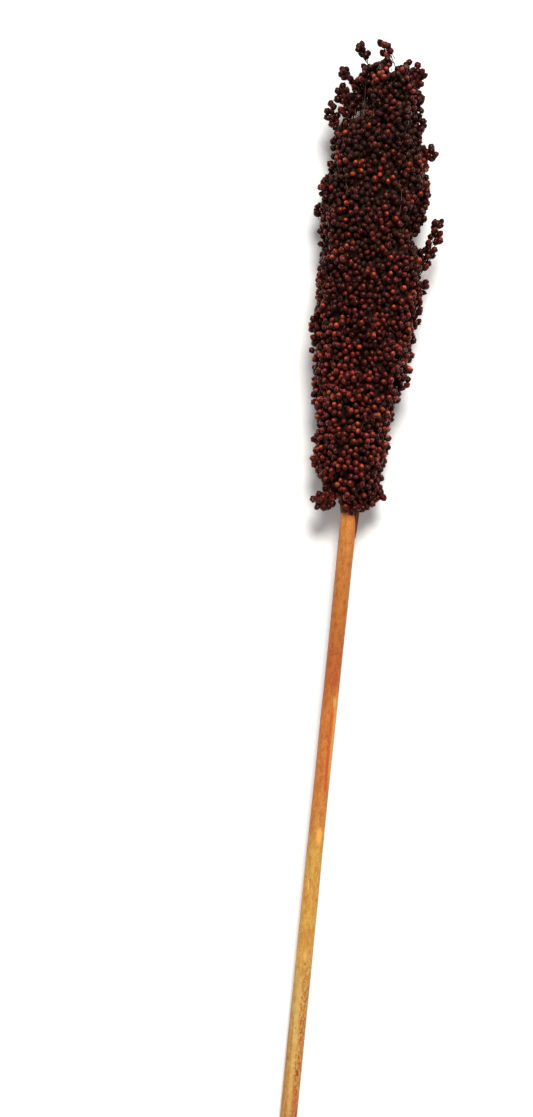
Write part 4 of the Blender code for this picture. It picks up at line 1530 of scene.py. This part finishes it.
    def _where_placed(self, sprig: Sprig, path: Array) -> tuple[Array, Array]:
        """Where the branchlets of placed seeds leave the stalk, and the seeds' places."""
        starts, ends = [], []
        for k, (along, sideways) in enumerate(sprig.placed):
            flat = np.array([sideways, along]) * MM
            near = int(np.argmin(np.linalg.norm(path[:, :2] - flat, axis=1)))
            lift = self.seed_lift[k % len(self.seed_lift)]
            starts.append(path[max(near - 1, 0)])
            ends.append(np.array([flat[0], flat[1], path[near, 2] + lift * MM]))
        return np.array(starts), np.array(ends)

    def _by_rule(
        self, sprig: Sprig, path: Array, forward: Array, draw: np.random.Generator
    ) -> tuple[Array, Array]:
        """The same for seeds that stand one after another round the outer part of the stalk."""
        turned = frames(forward[None, :], np.array([draw.uniform(0.0, math.tau)]))[0]
        length = reach_along(path)[-1]
        starts, ends = [], []
        for k in range(sprig.seeds):
            turn = k * GOLDEN_ANGLE
            out = math.cos(turn) * turned[:, 0] + math.sin(turn) * turned[:, 1]
            offset = self.seed_offset * draw.uniform(*self.seed_stray) if k else 0.0
            start = walked(path, np.array([length - k * self.seed_step * MM]))[0]
            starts.append(start)
            ends.append(start + offset * MM * out)
        return np.array(starts), np.array(ends)

    def tip_lot(self, draw: np.random.Generator) -> list[Sprig]:
        """The sprigs that make up the ragged top, drawn by rule all round the middle line."""
        made = []
        for k in range(self.tip_sprigs):
            turn = k * GOLDEN_ANGLE + self.tip_turn
            share = math.sqrt((k + 0.5) / self.tip_sprigs)
            low = draw.uniform(*self.tip_root)
            fall = (self.tip_end[1] - self.tip_end[0]) * share**2 * draw.uniform(*self.tip_fall)
            high = self.tip_end[1] - fall
            inner = np.interp(share, [0.0, 1.0], self.tip_root_radius)
            outer = np.interp(share, [0.0, 1.0], self.tip_end_radius)
            middle = self.form.line.at(np.array([high * MM]))[0][0] / MM
            root = (low, middle + inner * math.cos(turn), inner * math.sin(turn))
            tip = (high, middle + outer * math.cos(turn), outer * math.sin(turn))
            made.append(Sprig((root, tip), seeds=int(draw.integers(*self.tip_seeds))))
        return made

    def build(self) -> list[bpy.types.Object]:
        """Make the sprigs' seeds and stalks."""
        draw = np.random.default_rng(self.seed)
        lots = [self.seeds_on(sprig, draw) for sprig in list(self.named) + self.tip_lot(draw)]
        made = self.mass.builder.build("sprigs", Seeds.joined(lots), Layer.OUTER)
        points, faces, start = [], [], 0
        for path, radii in self.tubes:
            tube, rows = numbered(self.tube(path, radii))
            points.append(tube)
            faces += [tuple(start + k for k in face) for face in bridged(rows)]
            start += len(tube)
        return made + [self.maker.piece("stalks", np.concatenate(points), faces, self.straw, "head")]

    def tube(self, path: Array, radii: Array) -> list[Array]:
        """Rings of a closed tube along a path."""
        turns = circle(self.stalk_sides)
        along = unit(np.gradient(path, axis=0))
        rings = [path[:1]]
        for point, forward, radius in zip(path, along, radii):
            turned = frames(forward[None, :], np.zeros(1))[0]
            out = np.cos(turns)[:, None] * turned[:, 0] + np.sin(turns)[:, None] * turned[:, 1]
            rings.append(point + radius * out)
        return rings + [path[-1:]]

    def add_branchlets(self) -> None:
        """Lay fine straws along the head between its seeds."""
        draw, many = np.random.default_rng(self.branchlet_seed), self.stalk_points
        for _ in range(self.branchlets):
            angle = draw.uniform(0.0, math.tau)
            top = draw.uniform(*self.branchlet_tops) * MM
            long = draw.uniform(*self.branchlet_lengths) * MM
            along = np.linspace(top - long, top, many)
            height = np.interp(along, self.form.table[:, 1], self.form.table[:, 0])
            twist = np.linspace(-self.branchlet_turn, self.branchlet_turn, many)
            turns = angle + twist * draw.uniform(-1.0, 1.0)
            proud = np.linspace(self.branchlet_root_proud, draw.uniform(*self.branchlet_tip_proud), many) * MM
            path = self.form.pressed(self.form.points(turns, height, proud), self.mass.lowest)
            self.tubes.append((path, np.linspace(*self.branchlet_radii, many) * MM))


@dataclass
class Stem:
    """The cut stem: slightly ribbed and uneven, with a dished pith at the cut. Lengths in mm."""

    line: MiddleLine
    maker: PartMaker
    rind: bpy.types.Material
    pith: bpy.types.Material
    stations: Stations = (
        (0.0, 6.15), (120.0, 5.95), (260.0, 5.6), (400.0, 5.85), (430.0, 6.0), (458.0, 5.3),
    )
    sides: int = 56
    step: float = 2.5
    length: float = 458.0
    ribs: int = 17
    rib_height: float = 0.07
    rib_sway: float = 3.0
    wander: float = 0.16
    wander_fall: float = 0.6
    wander_turns: float = 1.1
    wander_mm: float = 45.0
    # The cut, from inside the rind's wall over its edge to its outer corner: distance along, and inset.
    cut: Stations = ((0.6, 0.75), (0.0, 0.65), (0.0, 0.12), (0.25, 0.0))
    pith_rings: tuple[float, ...] = (1.0, 0.85, 0.65, 0.45, 0.25)
    pith_inset: float = 0.6
    pith_rim: float = 0.3
    dish: float = 0.7
    pore_depth: float = 0.12
    pore_size: float = 0.9

    def radius(self, along: Array, angle: Array) -> Array:
        """Radius at distances and angles, in metres: ribbed, and never over the plain stem's."""
        plain = eased(self.stations, along)[:, 0]
        waves = self.wander_turns
        places = np.column_stack([np.cos(angle) * waves, along / (self.wander_mm * MM), np.sin(angle) * waves])
        uneven = self.wander * MM * (ripple(places, 1.0, 6.0) - self.wander_fall)
        ribs = self.rib_height * MM * (np.cos(self.ribs * angle + self.rib_sway * np.sin(2.0 * angle)) - 1.0)
        return plain + uneven + ribs

    def ring(self, along: float, scale: float = 1.0, inset: float = 0.0) -> Array:
        """A ring of points at a distance; inset draws it in, in mm."""
        turns, level = circle(self.sides), np.full(self.sides, along * MM)
        radius = self.radius(level, turns) * scale - inset * MM
        points = self.line.at(level) + radius[:, None] * spokes(turns)
        points[:, 2] = np.maximum(points[:, 2], 0.0)
        return points

    def build(self) -> list[bpy.types.Object]:
        """Make the rind and the pith."""
        rings = [self.ring(along, 1.0, inset) for along, inset in self.cut]
        rings += [self.ring(float(y)) for y in np.arange(self.step, self.length, self.step)]
        rings += [self.line.at(np.array([self.length * MM]))]
        points, rows = numbered(rings)
        made = [self.maker.piece("stem_rind", points, bridged(rows), self.rind, "stem")]
        rings = []
        for share in self.pith_rings:
            along = self.pith_rim + self.dish * (1.0 - share**2)
            ring = self.ring(along, share, self.pith_inset * share)
            ring[:, 1] += self.pore_depth * MM * ripple(ring, self.pore_size * MM, 8.0)
            rings.append(ring)
        rings.append(self.line.at(np.array([(self.pith_rim + self.dish) * MM])))
        points, rows = numbered(rings)
        faces = [face[::-1] for face in bridged(rows)]
        made.append(self.maker.piece("stem_pith", points, faces, self.pith, "stem"))
        return made


@dataclass
class Sheath:
    """The dried leaf base round the top of the stem, with a tongue down its right side. Lengths in mm."""

    line: MiddleLine
    maker: PartMaker
    leaf: bpy.types.Material
    stem: Stem
    mouth: float = 431.0
    tongue: float = 17.5
    tongue_half: float = 0.58
    top: float = 441.0
    # The torn edge: height of the tears, and size and seed of the noise. The wall: share of its length, and thickness.
    tears: Stations = ((1.1, 0.22, 3.0), (0.5, 0.07, 5.0))
    wall: Stations = ((0.0, 0.25), (0.15, 0.55), (1.0, 1.9))
    gap: float = 0.1
    sides: int = 96
    rows: int = 10
    inner_rows: int = 4

    def build(self) -> bpy.types.Object:
        """Make the sheath."""
        turns = circle(self.sides)
        across = (turns + math.pi) % math.tau - math.pi
        around = spokes(turns)
        torn = sum(height * ripple(around, size, seed) for height, size, seed in self.tears)
        edge = self.mouth - self.tongue * np.exp(-((across / self.tongue_half) ** 2)) + torn
        rings = []
        # Down the inside, then up the outside, where the wall grows from its thin torn edge.
        levels = [(share, self.gap) for share in np.linspace(1.0, 0.0, self.inner_rows)]
        levels += [(share, float(looked_up(self.wall, share))) for share in np.linspace(0.0, 1.0, self.rows)]
        for share, off in levels:
            rings.append(self._ring(turns, around, edge + share * (self.top - edge), off))
        points, rows = numbered(rings)
        return self.maker.piece("sheath", points, bridged(rows + rows[:1]), self.leaf, "head")

    def _ring(self, turns: Array, around: Array, along: Array, off: float) -> Array:
        """A ring of points this far off the stem, in mm, at a distance for each."""
        radius = self.stem.radius(along * MM, turns) + off * MM
        return self.line.at(along * MM) + radius[:, None] * around


@dataclass
class Studio:
    """Floor, soft light and camera. Places are (along, sideways, height) of the plant in mm."""

    maker: PartMaker
    card: bpy.types.Material
    floor_size: float = 6.0
    centre: tuple[float, float] = (394.7, -47.2)
    focus_height: float = 30.0
    frame_height: float = 782.0
    lens_mm: float = 120.0
    sensor_mm: float = 36.0
    lean: float = math.radians(4.63)
    key_from: tuple[float, float, float] = (4.5, 0.5, 6.8)
    key_size: float = 3.2
    key_power: float = 900.0
    key_tint: str = "#FFFDFA"
    fill: float = 0.47
    fill_tint: str = "#FDFEFF"
    sight: float = 20.0

    def build(self) -> None:
        """Set up the studio."""
        self._floor()
        self._light()
        self._camera()

    def _target(self) -> Vector:
        """The middle of the picture, on the plant."""
        along, sideways = self.centre
        place = np.array([sideways, along, self.focus_height]) * MM + self.maker.shift
        return Vector(place)

    def _floor(self) -> None:
        """Lay the floor."""
        mesh = bpy.data.meshes.new("floor")
        half = self.floor_size / 2
        corners = [(-half, -half, 0.0), (half, -half, 0.0), (half, half, 0.0), (-half, half, 0.0)]
        mesh.from_pydata(corners, [], [(0, 1, 2, 3)])
        mesh.materials.append(self.card)
        floor = bpy.data.objects.new("floor", mesh)
        bpy.context.scene.collection.objects.link(floor)

    def _light(self) -> None:
        """Hang the key light and fill with the room."""
        lamp = bpy.data.lights.new("key", "AREA")
        lamp.shape = "DISK"
        lamp.size = self.key_size
        lamp.energy = self.key_power
        lamp.color = linear(self.key_tint)[:3]
        key = bpy.data.objects.new("key", lamp)
        bpy.context.scene.collection.objects.link(key)
        target = self._target()
        along, sideways, height = self.key_from
        key.location = target + Vector((sideways, along, height))
        key.rotation_euler = (target - key.location).to_track_quat("-Z", "Y").to_euler()
        world = bpy.data.worlds.new("room")
        world.use_nodes = True
        background = world.node_tree.nodes["Background"]
        background.inputs["Color"].default_value = linear(self.fill_tint)
        background.inputs["Strength"].default_value = self.fill
        bpy.context.scene.world = world
        bpy.context.scene.view_settings.view_transform = "Standard"

    def _camera(self) -> None:
        """Look straight down with the picture's upright leaning with the plant."""
        data = bpy.data.cameras.new("camera")
        data.lens = self.lens_mm
        data.sensor_width = self.sensor_mm
        data.clip_end = self.sight
        camera = bpy.data.objects.new("camera", data)
        bpy.context.scene.collection.objects.link(camera)
        distance = self.frame_height * MM * self.lens_mm / self.sensor_mm
        camera.location = self._target() + Vector((0.0, 0.0, distance))
        camera.rotation_euler = (0.0, 0.0, self.lean)
        bpy.context.scene.camera = camera


def main() -> None:
    """Dress the plant and set up the studio."""
    logging.basicConfig(level=logging.INFO, format="%(message)s")
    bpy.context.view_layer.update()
    line = MiddleLine()
    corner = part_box("stem")[0]
    maker = PartMaker(np.array([corner.x + Stem.stations[0][1] * MM, corner.y, 0.0]))
    husk = Husk().make()
    rind = CulmRind(line=line, origin=(float(maker.shift[0]), float(corner.y))).make()
    stem = Stem(line, maker, rind, Pith().make())
    stem.build()
    form = HeadForm(line)
    mass = SeedMass(form, SeedBuilder(maker, SeedCoat().make(), husk))
    HeadCore(form, maker, husk).build()
    mass.build()
    sprigs = LooseSprigs(form, mass, maker, DryStalk().make())
    sprigs.add_branchlets()
    sprigs.build()
    Sheath(line, maker, LeafSheath().make(), stem).build()
    Studio(maker, MattCard().make()).build()


if __name__ == "__main__":
    main()
